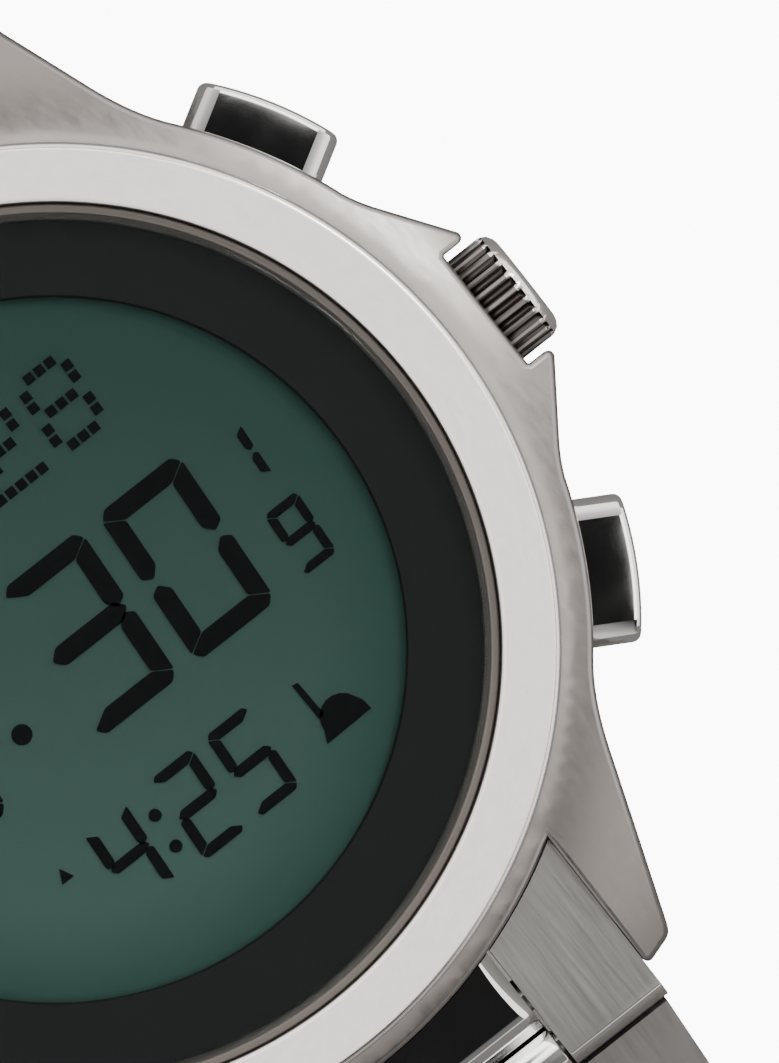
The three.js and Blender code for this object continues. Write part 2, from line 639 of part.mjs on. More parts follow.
place(watch, 'case_middle', caseMiddle(), 'satinSteel');
place(watch, 'bezel', bezel(), 'bezelSteel');
place(watch, 'crystal', crystal(), 'glass');
place(watch, 'crystal_gasket', ring(...GASKET_RADII, ...GASKET_LAYER), 'sealRubber');
place(watch, 'display_mask', ring(WINDOW_RADIUS, MASK_RADIUS, ...MASK_LAYER), 'maskBlack');
place(watch, 'lcd_panel', disc(PANEL_RADIUS, ...PANEL_LAYER), 'liquidCrystal');
place(watch, 'backlight_panel', disc(LIGHT_RADIUS, ...LIGHT_LAYER, 36), 'backlight');
place(watch, 'connector_strip', block(-8, 8, 12.5, 14.0, 6.8, 7.5), 'sealRubber');
place(watch, 'module_housing', moduleHousing(), 'housingPlastic');
place(watch, 'circuit_board', circuitBoard(), 'boardGreen');
place(watch, 'controller_chip', block(8.5, 13.0, -2.4, 2.4, 4.6, 5.6), 'chipBlack');
place(watch, 'battery', batteryCell(), 'batterySteel');
place(watch, 'battery_strap', batteryStrap(), 'springSteel');
place(watch, 'buzzer_disc', disc(9.0, 1.5, 1.8, 36), 'brass');
place(watch, 'case_back', caseBack(), 'satinSteel');
place(watch, 'case_back_gasket', ring(...BACK_SEAL_RADII, ...BACK_SEAL_LAYER), 'sealRubber');

for (const [side, name] of [[1, 'upper'], [-1, 'lower']]) {
  const control = new THREE.Group();
  control.rotation.z = radians(side * PUSHER_ANGLE);
  watch.add(control);
  place(control, `${name}_pusher`, pusher(), 'polishedSteel');
  place(control, `${name}_pusher_spring`, pusherSpring(), 'springSteel');
  place(control, `${name}_pusher_seal`, stemSeal(), 'sealRubber');
  place(control, `${name}_pusher_clip`, stemClip(), 'springSteel');
}

place(watch, 'crown', crown(), 'polishedSteel');
const crownTube = ring(...TUBE_RADII, 17.6, 22.6, SMALL_ROUND);
const crownSeal = ring(STEM_RADIUS + 0.08, TUBE_RADII[0] - 0.08, 18.6, 19.0, SMALL_ROUND);
place(watch, 'crown_tube', ontoControlAxis(crownTube), 'springSteel');
place(watch, 'crown_seal', ontoControlAxis(crownSeal), 'sealRubber');
place(watch, 'crown_clip', stemClip(), 'springSteel');

// Both halves of the bracelet are drawn on the side of positive Y; the lower half is turned round.
for (const [turn, name] of [[0, 'upper'], [Math.PI, 'lower']]) {
  const half = new THREE.Group();
  half.rotation.z = turn;
  watch.add(half);
  place(half, `${name}_end_link`, endLink(), 'brushedSteel');
  place(half, `${name}_spring_bar`, springBar(), 'springSteel');
  for (let number = 1; number <= LINK_COUNT; number += 1) {
    const [y, z] = PIVOTS[number - 1];
    const piece = place(half, `${name}_link_${number}`, link(number), 'brushedSteel');
    piece.position.set(0, y, z);
    piece.rotation.x = -radians(FIRST_LINK_ANGLE + LINK_TURN * (number - 1));
    const pinHalf = widthAt(number - 1) / 2 - PIN_INSET;
    place(half, `${name}_link_pin_${number}`, crossPin(PIN_RADIUS, pinHalf, y, z), 'springSteel');
  }
  const barHalf = CLASP_WIDTH / 2 - PIN_INSET;
  place(half, `${name}_clasp_bar`, crossPin(PIN_RADIUS, barHalf, ...CLASP_PIVOT), 'springSteel');
}

place(watch, 'clasp_base_blade', claspBaseBlade(), 'polishedSteel');
place(watch, 'clasp_middle_blade', claspMiddleBlade(), 'polishedSteel');
place(watch, 'clasp_cover', claspCover(), 'brushedSteel');
const innerPin = crossPin(PIN_RADIUS, MIDDLE_HALF_WIDTH - GAP, ...INNER_HINGE);
const outerPin = crossPin(OUTER_PIN_RADIUS, CLASP_WIDTH / 2 - 0.2, ...OUTER_HINGE);
place(watch, 'clasp_inner_pin', innerPin, 'springSteel');
place(watch, 'clasp_outer_pin', outerPin, 'springSteel');

export default watch;
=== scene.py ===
# Digital wristwatch on a steel bracelet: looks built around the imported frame. Metres, +Z out of the display.

import json
import math

import bmesh
import bpy
from mathutils import Matrix, Vector
from mathutils.geometry import delaunay_2d_cdt


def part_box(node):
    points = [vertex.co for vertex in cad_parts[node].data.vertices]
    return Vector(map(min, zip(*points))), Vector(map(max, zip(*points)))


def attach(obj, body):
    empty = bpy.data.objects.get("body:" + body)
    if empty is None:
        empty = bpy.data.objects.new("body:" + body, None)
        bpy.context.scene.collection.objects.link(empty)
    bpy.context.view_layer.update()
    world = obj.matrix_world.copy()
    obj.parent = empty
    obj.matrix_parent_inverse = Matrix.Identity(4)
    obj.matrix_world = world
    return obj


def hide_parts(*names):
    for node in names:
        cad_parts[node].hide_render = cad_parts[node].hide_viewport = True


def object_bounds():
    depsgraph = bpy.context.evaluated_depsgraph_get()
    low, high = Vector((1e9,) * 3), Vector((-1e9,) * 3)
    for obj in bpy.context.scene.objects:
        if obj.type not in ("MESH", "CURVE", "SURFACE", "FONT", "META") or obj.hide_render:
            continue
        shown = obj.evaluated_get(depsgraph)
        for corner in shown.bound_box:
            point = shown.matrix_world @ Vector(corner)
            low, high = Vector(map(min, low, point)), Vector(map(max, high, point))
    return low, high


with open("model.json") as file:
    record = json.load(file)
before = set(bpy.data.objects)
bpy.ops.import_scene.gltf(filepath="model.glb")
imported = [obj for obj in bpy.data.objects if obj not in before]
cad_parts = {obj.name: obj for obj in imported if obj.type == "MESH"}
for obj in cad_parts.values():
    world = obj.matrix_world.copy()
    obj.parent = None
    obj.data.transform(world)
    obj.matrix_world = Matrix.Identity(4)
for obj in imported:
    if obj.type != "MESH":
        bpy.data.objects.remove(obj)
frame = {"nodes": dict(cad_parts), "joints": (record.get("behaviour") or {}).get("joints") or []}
CAD_BOX = [list(corner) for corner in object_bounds()]
NODES = frame["nodes"]
JOINTS = {joint["name"]: joint for joint in frame["joints"]}

MM = 0.001
SIDES = {"upper": 1, "lower": -1}    # the half at 12 o'clock, and the half at 6 o'clock
LINKS = 5
TINY = 1e-9                          # a radius or length below this is zero

# ---------------------------------------------------------------- sizes read from the frame


def low(node, axis):
    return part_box(node)[0][axis]


def high(node, axis):
    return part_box(node)[1][axis]


def pivot(joint):
    return Vector(JOINTS[joint]["pos_m"])


BEZEL_OUTER = high("bezel", 1)
BEZEL_TOP = high("bezel", 2)
BEZEL_BOTTOM = low("bezel", 2)
CRYSTAL_RADIUS = high("crystal", 1)
CRYSTAL_TOP = high("crystal", 2)
CRYSTAL_BOTTOM = low("crystal", 2)
GASKET_OUTER = high("crystal_gasket", 1)
GASKET_TOP = high("crystal_gasket", 2)
GASKET_BOTTOM = low("crystal_gasket", 2)
MASK_OUTER = high("display_mask", 1)
MASK_TOP = high("display_mask", 2)
MASK_BOTTOM = low("display_mask", 2)
LCD_TOP = high("lcd_panel", 2)
LCD_BOTTOM = low("lcd_panel", 2)
LCD_RADIUS = high("lcd_panel", 1)
CONTROL_Z = pivot("crown_turn").z

# inner radii, which no node's box gives
BEZEL_INNER = 18.12 * MM
BEZEL_LEDGE = (17.0 * MM, 10.02 * MM)    # the ledge under the glass: its inner radius and its top
GASKET_INNER = 17.68 * MM
WINDOW_RADIUS = 14.27 * MM               # the display seen through the mask

# ---------------------------------------------------------------- materials

GRAIN_DEPTH = 0.02 * MM


def put(tree, socket, value):
    """Links an output to the socket, or sets the socket to a plain value."""
    if isinstance(value, bpy.types.NodeSocket):
        tree.links.new(value, socket)
    else:
        socket.default_value = value


class Nodes:
    """Small helper that adds the shader nodes of a material or world and links them."""

    def __init__(self, owner):
        owner.use_nodes = True
        self.tree = owner.node_tree
        self.tree.nodes.clear()
        is_world = isinstance(owner, bpy.types.World)
        self.output = self.add("ShaderNodeOutputWorld" if is_world else "ShaderNodeOutputMaterial")

    def add(self, kind, **inputs):
        node = self.tree.nodes.new(kind)
        for name, value in inputs.items():
            self.set(node, name.replace("_", " "), value)
        return node

    def set(self, node, name, value):
        put(self.tree, node.inputs[name], value)

    def position(self):
        """X, Y and Z of the shaded point in the object's own frame, which is the watch's frame."""
        split = self.add("ShaderNodeSeparateXYZ", Vector=self.add("ShaderNodeTexCoord").outputs["Object"])
        return [split.outputs[axis] for axis in "XYZ"]

    def noise(self, scale, detail=4.0, roughness=0.5):
        """Noise with so many cells to the metre, along each axis or along all three."""
        if isinstance(scale, (int, float)):
            scale = (scale, scale, scale)
        texture = self.add("ShaderNodeTexCoord")
        mapping = self.add("ShaderNodeMapping", Vector=texture.outputs["Object"], Scale=scale)
        return self.noise_at(mapping.outputs["Vector"], detail, roughness)

    def noise_at(self, vector, detail, roughness=0.5):
        node = self.add("ShaderNodeTexNoise", Vector=vector, Scale=1.0, Detail=detail, Roughness=roughness)
        return node.outputs["Fac"]

    def spread(self, value, low_out, high_out, low_in=0.3, high_in=0.7):
        """The value's range from low_in to high_in stretched over low_out to high_out, and held beyond."""
        node = self.tree.nodes.new("ShaderNodeMapRange")
        for socket, item in zip(node.inputs, (value, low_in, high_in, low_out, high_out)):
            put(self.tree, socket, item)
        return node.outputs["Result"]

    def math(self, operation, a, b=0.0):
        node = self.tree.nodes.new("ShaderNodeMath")
        node.operation = operation
        for socket, item in zip(node.inputs, (a, b)):
            put(self.tree, socket, item)
        return node.outputs[0]

    def weighted(self, a, a_share, b, b_share):
        return self.math("ADD", self.math("MULTIPLY", a, a_share), self.math("MULTIPLY", b, b_share))

    def axis_distance(self, x, y):
        return self.math("SQRT", self.math("ADD", self.math("MULTIPLY", x, x), self.math("MULTIPLY", y, y)))

    def mix(self, factor, a, b):
        node = self.tree.nodes.new("ShaderNodeMix")
        node.data_type = "RGBA"
        sockets = {"Factor": "VALUE", "A": "RGBA", "B": "RGBA"}
        for (name, kind), item in zip(sockets.items(), (factor, a, b)):
            put(self.tree, next(s for s in node.inputs if s.name == name and s.type == kind), item)
        return next(s for s in node.outputs if s.type == "RGBA")

    def bump(self, height, strength, distance=GRAIN_DEPTH):
        node = self.add("ShaderNodeBump", Height=height, Strength=strength, Distance=distance)
        return node.outputs["Normal"]

    def finish(self, **inputs):
        """Ends a material with a principled surface."""
        principled = self.add("ShaderNodeBsdfPrincipled", **inputs)
        self.set(self.output, "Surface", principled.outputs["BSDF"])


def shade(color, factor=1.0):
    return tuple(channel * factor for channel in color) + (1.0,)


def grey(level):
    return (level, level, level, 1.0)


def steel(n, color, roughness, grain, contrast, bump, anisotropy=0.0):
    """Brushed metal whose grain is noise stretched along the axis with the fewest cells."""
    strokes = n.noise(grain, 5.0, 0.65)
    cloud = n.noise(130, 3.0)
    fine = n.mix(strokes, shade(color, 1 - contrast), shade(color, 1 + contrast))
    tone = n.mix(n.spread(cloud, 0.0, 0.2), fine, shade(color, 0.94))
    rough = n.math("ADD", n.spread(strokes, roughness - 0.05, roughness + 0.05), n.spread(cloud, -0.01, 0.01))
    n.finish(Base_Color=tone, Metallic=1.0, Roughness=rough, Anisotropic=anisotropy,
             Normal=n.bump(strokes, bump))


def ring_steel(n, color, roughness, contrast=0.05, bump=0.1):
    """Satin metal turned on a lathe: the grain follows circles round the case axis."""
    across, around = 9000.0, 14.0        # cells to the metre, and cells to the radian
    x, y, z = n.position()
    polar = n.tree.nodes.new("ShaderNodeCombineXYZ")
    n.set(polar, "X", n.math("MULTIPLY", n.axis_distance(x, y), across))
    n.set(polar, "Y", n.math("MULTIPLY", n.math("ARCTAN2", y, x), around))
    n.set(polar, "Z", n.math("MULTIPLY", z, across))
    strokes = n.noise_at(polar.outputs["Vector"], 5.0, 0.6)
    grit = n.noise(4200, 2.0)
    cloud = n.noise(160, 3.0)
    grain = n.weighted(strokes, 0.5, grit, 0.5)
    tone = n.mix(grain, shade(color, 1 - contrast), shade(color, 1 + contrast))
    tone = n.mix(n.spread(cloud, 0.0, 0.2), tone, shade(color, 0.95))
    n.finish(Base_Color=tone, Metallic=1.0, Roughness=n.spread(grain, roughness - 0.05, roughness + 0.05),
             Normal=n.bump(grain, bump))


def mirror_steel(n, color, roughness):
    """Polished metal with the faint haze and hairlines of handling."""
    haze = n.noise(420, 4.0)
    hairs = n.noise((300, 9000, 9000), 2.0)
    rough = n.math("ADD", n.spread(haze, roughness, roughness + 0.05), n.spread(hairs, 0.0, 0.02, 0.6, 0.8))
    tone = n.mix(haze, shade(color, 0.96), shade(color, 1.04))
    n.finish(Base_Color=tone, Metallic=1.0, Roughness=rough, Normal=n.bump(haze, 0.03, GRAIN_DEPTH / 2))


def moulded(n, color, roughness, speck=2500, bump=0.2, variation=0.15, shine=0.5):
    """Plastic, rubber or lacquer: even colour, and a fine surface texture unless bump is 0."""
    tone = n.mix(n.noise(200, 2.0), shade(color, 1 - variation), shade(color, 1 + variation))
    inputs = {"Base_Color": tone, "Roughness": roughness, "Specular_IOR_Level": shine}
    if bump:
        grain = n.noise(speck, 3.0)
        inputs["Roughness"] = n.spread(grain, roughness - 0.06, roughness + 0.06)
        inputs["Normal"] = n.bump(grain, bump)
    n.finish(**inputs)


def display_green_with_painted_shade(n):
    """Polariser of the display: dull green, with painted shade that darkens it towards the picture's top and
    towards the window's rim.
    """
    x, y, _ = n.position()
    # painted shade: the green darkens towards the window's rim, where the mask's edge shades it
    rim = n.spread(n.axis_distance(x, y), 0.0, 1.0, 10.5 * MM, 14.6 * MM)
    cloud = n.noise(90, 3.0)
    rise = n.weighted(x, 0.62, y, 0.79)              # up in the picture
    light = n.mix(cloud, shade((0.047, 0.088, 0.075)), shade((0.053, 0.095, 0.082)))
    # painted shade: the green darkens towards the picture's top, on the side where less light falls
    middle = n.mix(n.spread(rise, 0.0, 1.0, -12 * MM, 14 * MM), light, shade((0.020, 0.044, 0.037)))
    tone = n.mix(rim, middle, shade((0.021, 0.052, 0.044)))
    n.finish(Base_Color=tone, Roughness=n.spread(cloud, 0.46, 0.5), Specular_IOR_Level=0.12)


def clear_glass(n):
    """Watch glass: see-through, with reflections that grow towards grazing angles."""
    coating = 0.3                        # share of plain glass's reflection that an anti-glare coat leaves
    smears = n.noise(90, 4.0)
    clear = n.add("ShaderNodeBsdfTransparent", Color=shade((0.93, 0.96, 0.955)))
    gloss = n.add("ShaderNodeBsdfAnisotropic", Color=grey(1), Roughness=n.spread(smears, 0.01, 0.05))
    fresnel = n.add("ShaderNodeFresnel", IOR=1.42)
    blend = n.add("ShaderNodeMixShader", Fac=n.math("MULTIPLY", fresnel.outputs[0], coating))
    n.tree.links.new(clear.outputs[0], blend.inputs[1])
    n.tree.links.new(gloss.outputs[0], blend.inputs[2])
    n.set(n.output, "Surface", blend.outputs[0])


MATERIALS = {}
BRUSHED_CASE = (3200, 800, 3200)         # cells of the grain to the metre, fewest along the strokes
DRAWN = (300, 3000, 3000)
CUT = (300, 2600, 2600)


def material(name, recipe, *surface, **settings):
    """Adds a material: surface is its colour and roughness, and settings are the recipe's own."""
    MATERIALS[name] = bpy.data.materials.new(name)
    recipe(Nodes(MATERIALS[name]), *surface, **settings)


material("case_satin", steel, (0.25, 0.232, 0.217), 0.32, grain=BRUSHED_CASE, contrast=0.08, bump=0.10)
material("bezel_satin", ring_steel, (0.93, 0.875, 0.84), 0.42)
material("case_edge", steel, (0.30, 0.285, 0.27), 0.34, grain=BRUSHED_CASE, contrast=0.06, bump=0.05)
material("edge_polish", mirror_steel, (0.80, 0.77, 0.75), 0.22)
material("link_brushed", steel, (0.52, 0.51, 0.495), 0.44, grain=(7000, 260, 260), contrast=0.16, bump=0.3,
         anisotropy=0.3)
material("mirror", mirror_steel, (0.80, 0.80, 0.79), 0.05)
material("crown_mirror", mirror_steel, (0.85, 0.83, 0.81), 0.2)
# near-black steel for the crown's grooves: painted shade, standing for the shade that falls deep in them
material("groove_painted_shade", steel, (0.055, 0.047, 0.043), 0.30, grain=CUT, contrast=0.25, bump=0.2)
material("ridge", steel, (0.26, 0.245, 0.235), 0.5, grain=CUT, contrast=0.15, bump=0.1)
material("wire_steel", steel, (0.52, 0.52, 0.51), 0.3, grain=DRAWN, contrast=0.1, bump=0.1)
material("cell_steel", mirror_steel, (0.7, 0.7, 0.69), 0.14)
material("brass", steel, (0.70, 0.52, 0.24), 0.35, grain=(900, 900, 900), contrast=0.1, bump=0.1)
material("gasket", moulded, (0.115, 0.098, 0.086), 0.35, speck=900, bump=0.05)
material("rubber", moulded, (0.022, 0.022, 0.023), 0.75)
material("mask_black", moulded, (0.0068, 0.0064, 0.0064), 0.42, bump=0, variation=0.08, shine=0.16)
material("lcd_green", display_green_with_painted_shade)
material("lcd_ink", moulded, (0.0035, 0.0035, 0.004), 0.5, bump=0, variation=0.1, shine=0.06)
material("glass", clear_glass)
material("light_sheet", moulded, (0.72, 0.80, 0.76), 0.5)
material("housing", moulded, (0.03, 0.033, 0.038), 0.55)
material("board", moulded, (0.03, 0.16, 0.075), 0.45, speck=1800, bump=0.3)
material("chip", moulded, (0.012, 0.012, 0.014), 0.35)

# ---------------------------------------------------------------- mesh tools


def link(piece):
    bpy.context.scene.collection.objects.link(piece)
    return piece


def finish_mesh(name, bm, materials, smooth_angle=32):
    """Turns the mesh into an object with these materials and smooth shading below the angle."""
    bmesh.ops.remove_doubles(bm, verts=bm.verts, dist=0.0001 * MM)
    bmesh.ops.recalc_face_normals(bm, faces=bm.faces)
    mesh = bpy.data.meshes.new(name)
    bm.to_mesh(mesh)
    bm.free()
    for key in materials:
        mesh.materials.append(MATERIALS[key])
    shade_by_angle(mesh, smooth_angle)
    return link(bpy.data.objects.new(name, mesh))


def shade_by_angle(mesh, degrees):
    """Smooth shading with the edges sharper than the angle marked sharp."""
    bm = bmesh.new()
    bm.from_mesh(mesh)
    limit = math.radians(degrees)
    for face in bm.faces:
        face.smooth = True
    for edge in bm.edges:
        edge.smooth = len(edge.link_faces) == 2 and edge.calc_face_angle(0.0) < limit
    bm.to_mesh(mesh)
    bm.free()


def stand_for(piece, node, body):
    """The piece takes the CAD node's place and moves with the body."""
    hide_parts(node)
    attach(piece, body)


def subtract(piece, tools):
    """Cuts the tools out of the piece and deletes them; returns the new mesh."""
    for tool in tools:
        modifier = piece.modifiers.new("cut", "BOOLEAN")
        modifier.operation = "DIFFERENCE"
        modifier.solver = "EXACT"
        modifier.object = tool
    depsgraph = bpy.context.evaluated_depsgraph_get()
    mesh = bpy.data.meshes.new_from_object(piece.evaluated_get(depsgraph))
    piece.modifiers.clear()
    piece.data = mesh
    for tool in tools:
        bpy.data.objects.remove(tool)
    return mesh


def lathe(name, profile, materials, sides, bands=None):
    """Solid of revolution about Z from (radius, z) points; bands gives each profile step's material.

    A profile that starts on the axis ends on it too. Any other is a ring and closes on itself.
    """
    bm = bmesh.new()
    rows = []
    for radius, z in profile:
        if radius < TINY:
            rows.append([bm.verts.new((0, 0, z))])
            continue
        turns = (2 * math.pi * i / sides for i in range(sides))
        rows.append([bm.verts.new((radius * math.cos(t), radius * math.sin(t), z)) for t in turns])
    following = rows[1:] + rows[:1] if profile[0][0] > TINY else rows[1:]
    for band, (a, b) in enumerate(zip(rows, following)):
        for i in range(sides):
            j = (i + 1) % sides
            corners = [a[i % len(a)], a[j % len(a)], b[j % len(b)], b[i % len(b)]]
            corners = list(dict.fromkeys(corners))
            face = bm.faces.new(corners)
            face.material_index = bands[band] if bands else 0
    return finish_mesh(name, bm, materials)


def loft(bm, a, b, material=0):
    """Faces between two closed loops of equally many vertices."""
    for i in range(len(a)):
        j = (i + 1) % len(a)
        bm.faces.new((a[i], a[j], b[j], b[i])).material_index = material


def add_prism(bm, outline, x0, x1, edge, material=0):
    """Prism along X of a Y-Z outline, with both end rims rounded off by edge."""
    start_faces = set(bm.faces)
    near = [bm.verts.new((x0, y, z)) for y, z in outline]
    far = [bm.verts.new((x1, y, z)) for y, z in outline]
    caps = [bm.faces.new(near), bm.faces.new(list(reversed(far)))]
    loft(bm, far, near)
    rims = {e for cap in caps for e in cap.edges}
    if edge:
        bmesh.ops.bevel(bm, geom=list(rims), offset=edge, segments=3, profile=0.5, affect="EDGES",
                        clamp_overlap=True)
    for face in bm.faces:
        if face not in start_faces:
            face.material_index = material


# ---------------------------------------------------------------- outlines


def rounded(points, radius, steps=4):
    """Polygon with every corner replaced by a small curve."""
    longest_share = 0.45                 # of an edge, that a corner may use
    result = []
    count = len(points)
    for i, corner in enumerate(points):
        before, after = Vector(points[i - 1]), Vector(points[(i + 1) % count])
        corner = Vector(corner)
        into, out = before - corner, after - corner
        reach = min(radius, into.length * longest_share, out.length * longest_share)
        start, end = corner + into.normalized() * reach, corner + out.normalized() * reach
        for k in range(steps + 1):
            t = k / steps
            result.append((start * (1 - t) ** 2 + corner * 2 * t * (1 - t) + end * t * t)[:])
    return result


def arc(cu, cv, radius, start, end, steps):
    """Points on an arc about (cu, cv), angles in degrees."""
    turns = (math.radians(start + (end - start) * k / steps) for k in range(steps + 1))
    return [(cu + radius * math.cos(t), cv + radius * math.sin(t)) for t in turns]


def circle(radius, steps):
    turns = (2 * math.pi * k / steps for k in range(steps))
    return [(radius * math.cos(t), radius * math.sin(t)) for t in turns]


def bezier(a, b, c, steps):
    """Points on a curve from a to c that leaves and arrives along the lines through b."""
    points = []
    for k in range(steps + 1):
        t = k / steps
        points.append(tuple(p * (1 - t) ** 2 + 2 * q * t * (1 - t) + r * t * t for p, q, r in zip(a, b, c)))
    return points


def spaced(loop, longest):
    """The closed loop with its long edges divided into equal steps."""
    result = []
    for i, (u, v) in enumerate(loop):
        nu, nv = loop[(i + 1) % len(loop)]
        parts = max(1, math.ceil(math.hypot(nu - u, nv - v) / longest))
        result += [(u + (nu - u) * k / parts, v + (nv - v) * k / parts) for k in range(parts)]
    return result


def spaced_open(line, longest):
    """An open line with its long steps divided."""
    way_back = max(1, math.ceil(math.dist(line[-1], line[0]) / longest))
    return spaced(line, longest)[:-way_back] + [line[-1]]


def inset(loop, distance):
    """The closed loop moved inwards by a distance, along the mean of its two edge normals."""
    sharpest, stretch_limit = 0.5, 1.6   # keep a sharp corner from shooting inwards
    result = []
    count = len(loop)
    for i, point in enumerate(loop):
        before, after = Vector(loop[i - 1]), Vector(loop[(i + 1) % count])
        point = Vector(point)
        a, b = (point - before).normalized(), (after - point).normalized()
        normal = Vector((-a.y - b.y, a.x + b.x)).normalized()
        stretch = min(1.0 / max(normal.dot(Vector((-a.y, a.x))), sharpest), stretch_limit)
        result.append((point + normal * distance * stretch)[:])
    return result


def both_sides(x0, x1):
    """A stretch along X and its mirror image."""
    return (x0, x1), (-x1, -x0)


# ---------------------------------------------------------------- bezel, glass and display


def bezel_ring():
    """Flat satin ring with a polished chamfer outside and a polished roll inside, over a dark ledge."""
    outer, inner, top, bottom = BEZEL_OUTER, BEZEL_INNER, BEZEL_TOP, BEZEL_BOTTOM
    ledge_radius, ledge_top = BEZEL_LEDGE
    chamfer_width, chamfer_drop = 0.16 * MM, 0.2 * MM
    soft = 0.04 * MM
    roll = 0.14 * MM
    hold = 0.08 * MM                     # the top stays flat right up to its curved rims
    rim = outer - chamfer_width
    profile = [
        (ledge_radius, bottom), (outer - soft, bottom), (outer, bottom + soft),
        (outer, top - chamfer_drop - soft), (outer - soft, top - chamfer_drop + soft),
        (rim, top - soft), (rim - hold, top), (rim - 2 * hold, top),
        (inner + roll + hold, top), (inner + roll, top), (inner + soft, top - soft), (inner, top - roll),
        (inner, ledge_top), (ledge_radius, ledge_top),
    ]
    satin, polish, seal = range(3)
    bands = [satin] * 3 + [polish] * 3 + [satin] * 4 + [polish] * 2 + [seal] * 2
    piece = lathe("bezel_ring", profile, ["bezel_satin", "edge_polish", "gasket"], 256, bands)
    stand_for(piece, "bezel", "case")


def crystal_lens():
    radius, edge = CRYSTAL_RADIUS, 0.12 * MM
    profile = [(0, CRYSTAL_BOTTOM), (radius, CRYSTAL_BOTTOM), (radius, CRYSTAL_TOP - edge),
               (radius - 0.3 * edge, CRYSTAL_TOP - 0.3 * edge), (radius - edge, CRYSTAL_TOP),
               (radius - 1.4 * edge, CRYSTAL_TOP), (0, CRYSTAL_TOP)]
    piece = lathe("crystal_lens", profile, ["glass"], 192)
    stand_for(piece, "crystal", "case")


def gasket_ring():
    corners = [(GASKET_INNER, GASKET_BOTTOM), (GASKET_OUTER, GASKET_BOTTOM),
               (GASKET_OUTER, GASKET_TOP), (GASKET_INNER, GASKET_TOP)]
    piece = lathe("gasket_ring", rounded(corners, 0.12 * MM, 3), ["gasket"], 192)
    stand_for(piece, "crystal_gasket", "case")


def mask_ring():
    slope = 0.1 * MM
    profile = [(WINDOW_RADIUS, MASK_BOTTOM), (MASK_OUTER, MASK_BOTTOM), (MASK_OUTER, MASK_TOP),
               (WINDOW_RADIUS + slope, MASK_TOP), (WINDOW_RADIUS, MASK_TOP - slope)]
    piece = lathe("mask_ring", profile, ["mask_black"], 192)
    stand_for(piece, "display_mask", "case")


def lcd_glass():
    step = 0.12 * MM
    profile = [(0, LCD_BOTTOM), (LCD_RADIUS - step, LCD_BOTTOM), (LCD_RADIUS, LCD_BOTTOM + step),
               (LCD_RADIUS, LCD_TOP - step), (LCD_RADIUS - step, LCD_TOP), (0, LCD_TOP)]
    piece = lathe("lcd_glass", profile, ["lcd_green"], 128)
    stand_for(piece, "lcd_panel", "case")


# ---------------------------------------------------------------- the display's printed marks
# Lengths from here to the bracelet are in millimetres from the case axis.

INK_LIFT = 0.01 * MM
INK_HEIGHT = 0.05 * MM
SLANT = math.tan(math.radians(4.0))

# bars of a seven-segment digit: a on top, then clockwise b c d e f, and g in the middle
SEGMENTS = {"0": "abcdef", "1": "bc", "2": "abged", "3": "abgcd", "4": "fgbc", "5": "afgcd", "9": "abcdfg"}

DOT_GLYPHS = {
    "2": ("01110", "10001", "00001", "00110", "01000", "10000", "11111"),
    "8": ("01110", "10001", "10001", "01110", "10001", "10001", "01110"),
    "0": ("01110", "10001", "10011", "10101", "11001", "10001", "01110"),
    "6": ("00110", "01000", "10000", "11110", "10001", "10001", "01110"),
}


def add_ink(bm, outline):
    """One printed patch: a thin plate on the display."""
    bottom = LCD_TOP + INK_LIFT
    base = [bm.verts.new((u * MM, v * MM, bottom)) for u, v in outline]
    top = [bm.verts.new((u * MM, v * MM, bottom + INK_HEIGHT)) for u, v in outline]
    bm.faces.new(list(reversed(base)))
    bm.faces.new(top)
    loft(bm, base, top)


def seven_segment(bm, digit, left, bottom, width, height, stroke):
    """A seven-segment digit: bars that meet at the corners and part at half height."""
    seam = 0.035                         # half the gap at a corner
    part = stroke * 0.16                 # gap at half height
    chamfer = stroke * 0.42
    shoulder = stroke * 0.3              # how far an outer edge starts above or below half height
    softening = stroke * 0.14
    right, top, middle = width, height, height / 2
    half = stroke / 2
    bars = {
        "a": [(seam, top - chamfer), (chamfer, top), (right - chamfer, top), (right - seam, top - chamfer),
              (right - stroke, top - stroke), (stroke, top - stroke)],
        "d": [(seam, chamfer), (stroke, stroke), (right - stroke, stroke), (right - seam, chamfer),
              (right - chamfer, 0), (chamfer, 0)],
        "g": [(part, middle), (half + part, middle + half), (right - half - part, middle + half),
              (right - part, middle), (right - half - part, middle - half), (half + part, middle - half)],
    }
    for name, outer, inner in (("f", 0, stroke), ("b", right, right - stroke)):
        tip = (outer + inner) / 2 + (seam if inner > outer else -seam)
        bars[name] = [(outer, top - chamfer - seam), (inner, top - stroke - seam),
                      (inner, middle + half + part), (tip, middle + part), (outer, middle + shoulder + part)]
    for name, outer, inner in (("e", 0, stroke), ("c", right, right - stroke)):
        bars[name] = [(outer, chamfer + seam), (outer, middle - shoulder - part),
                      ((outer + inner) / 2, middle - part), (inner, middle - half - part),
                      (inner, stroke + seam)]
    for name in SEGMENTS[digit]:
        outline = rounded(bars[name], softening, 2)
        add_ink(bm, [(left + x + y * SLANT, bottom + y) for x, y in outline])


def ink_dot(bm, u, v, radius):
    add_ink(bm, [(u + x, v + y) for x, y in circle(radius, 15)])


def dot_glyph(bm, glyph, left, bottom, pitch, size):
    """A character of the dot-matrix row, as slanted rows of square dots."""
    half = size / 2
    square = ((-half, -half), (half, -half), (half, half), (-half, half))
    rows = DOT_GLYPHS[glyph]
    for row, line in enumerate(rows):
        v = bottom + (len(rows) - 1 - row) * pitch
        for column, dot in enumerate(line):
            if dot == "1":
                u = left + column * pitch + (v - bottom) * SLANT
                add_ink(bm, [(u + x, v + y) for x, y in square])


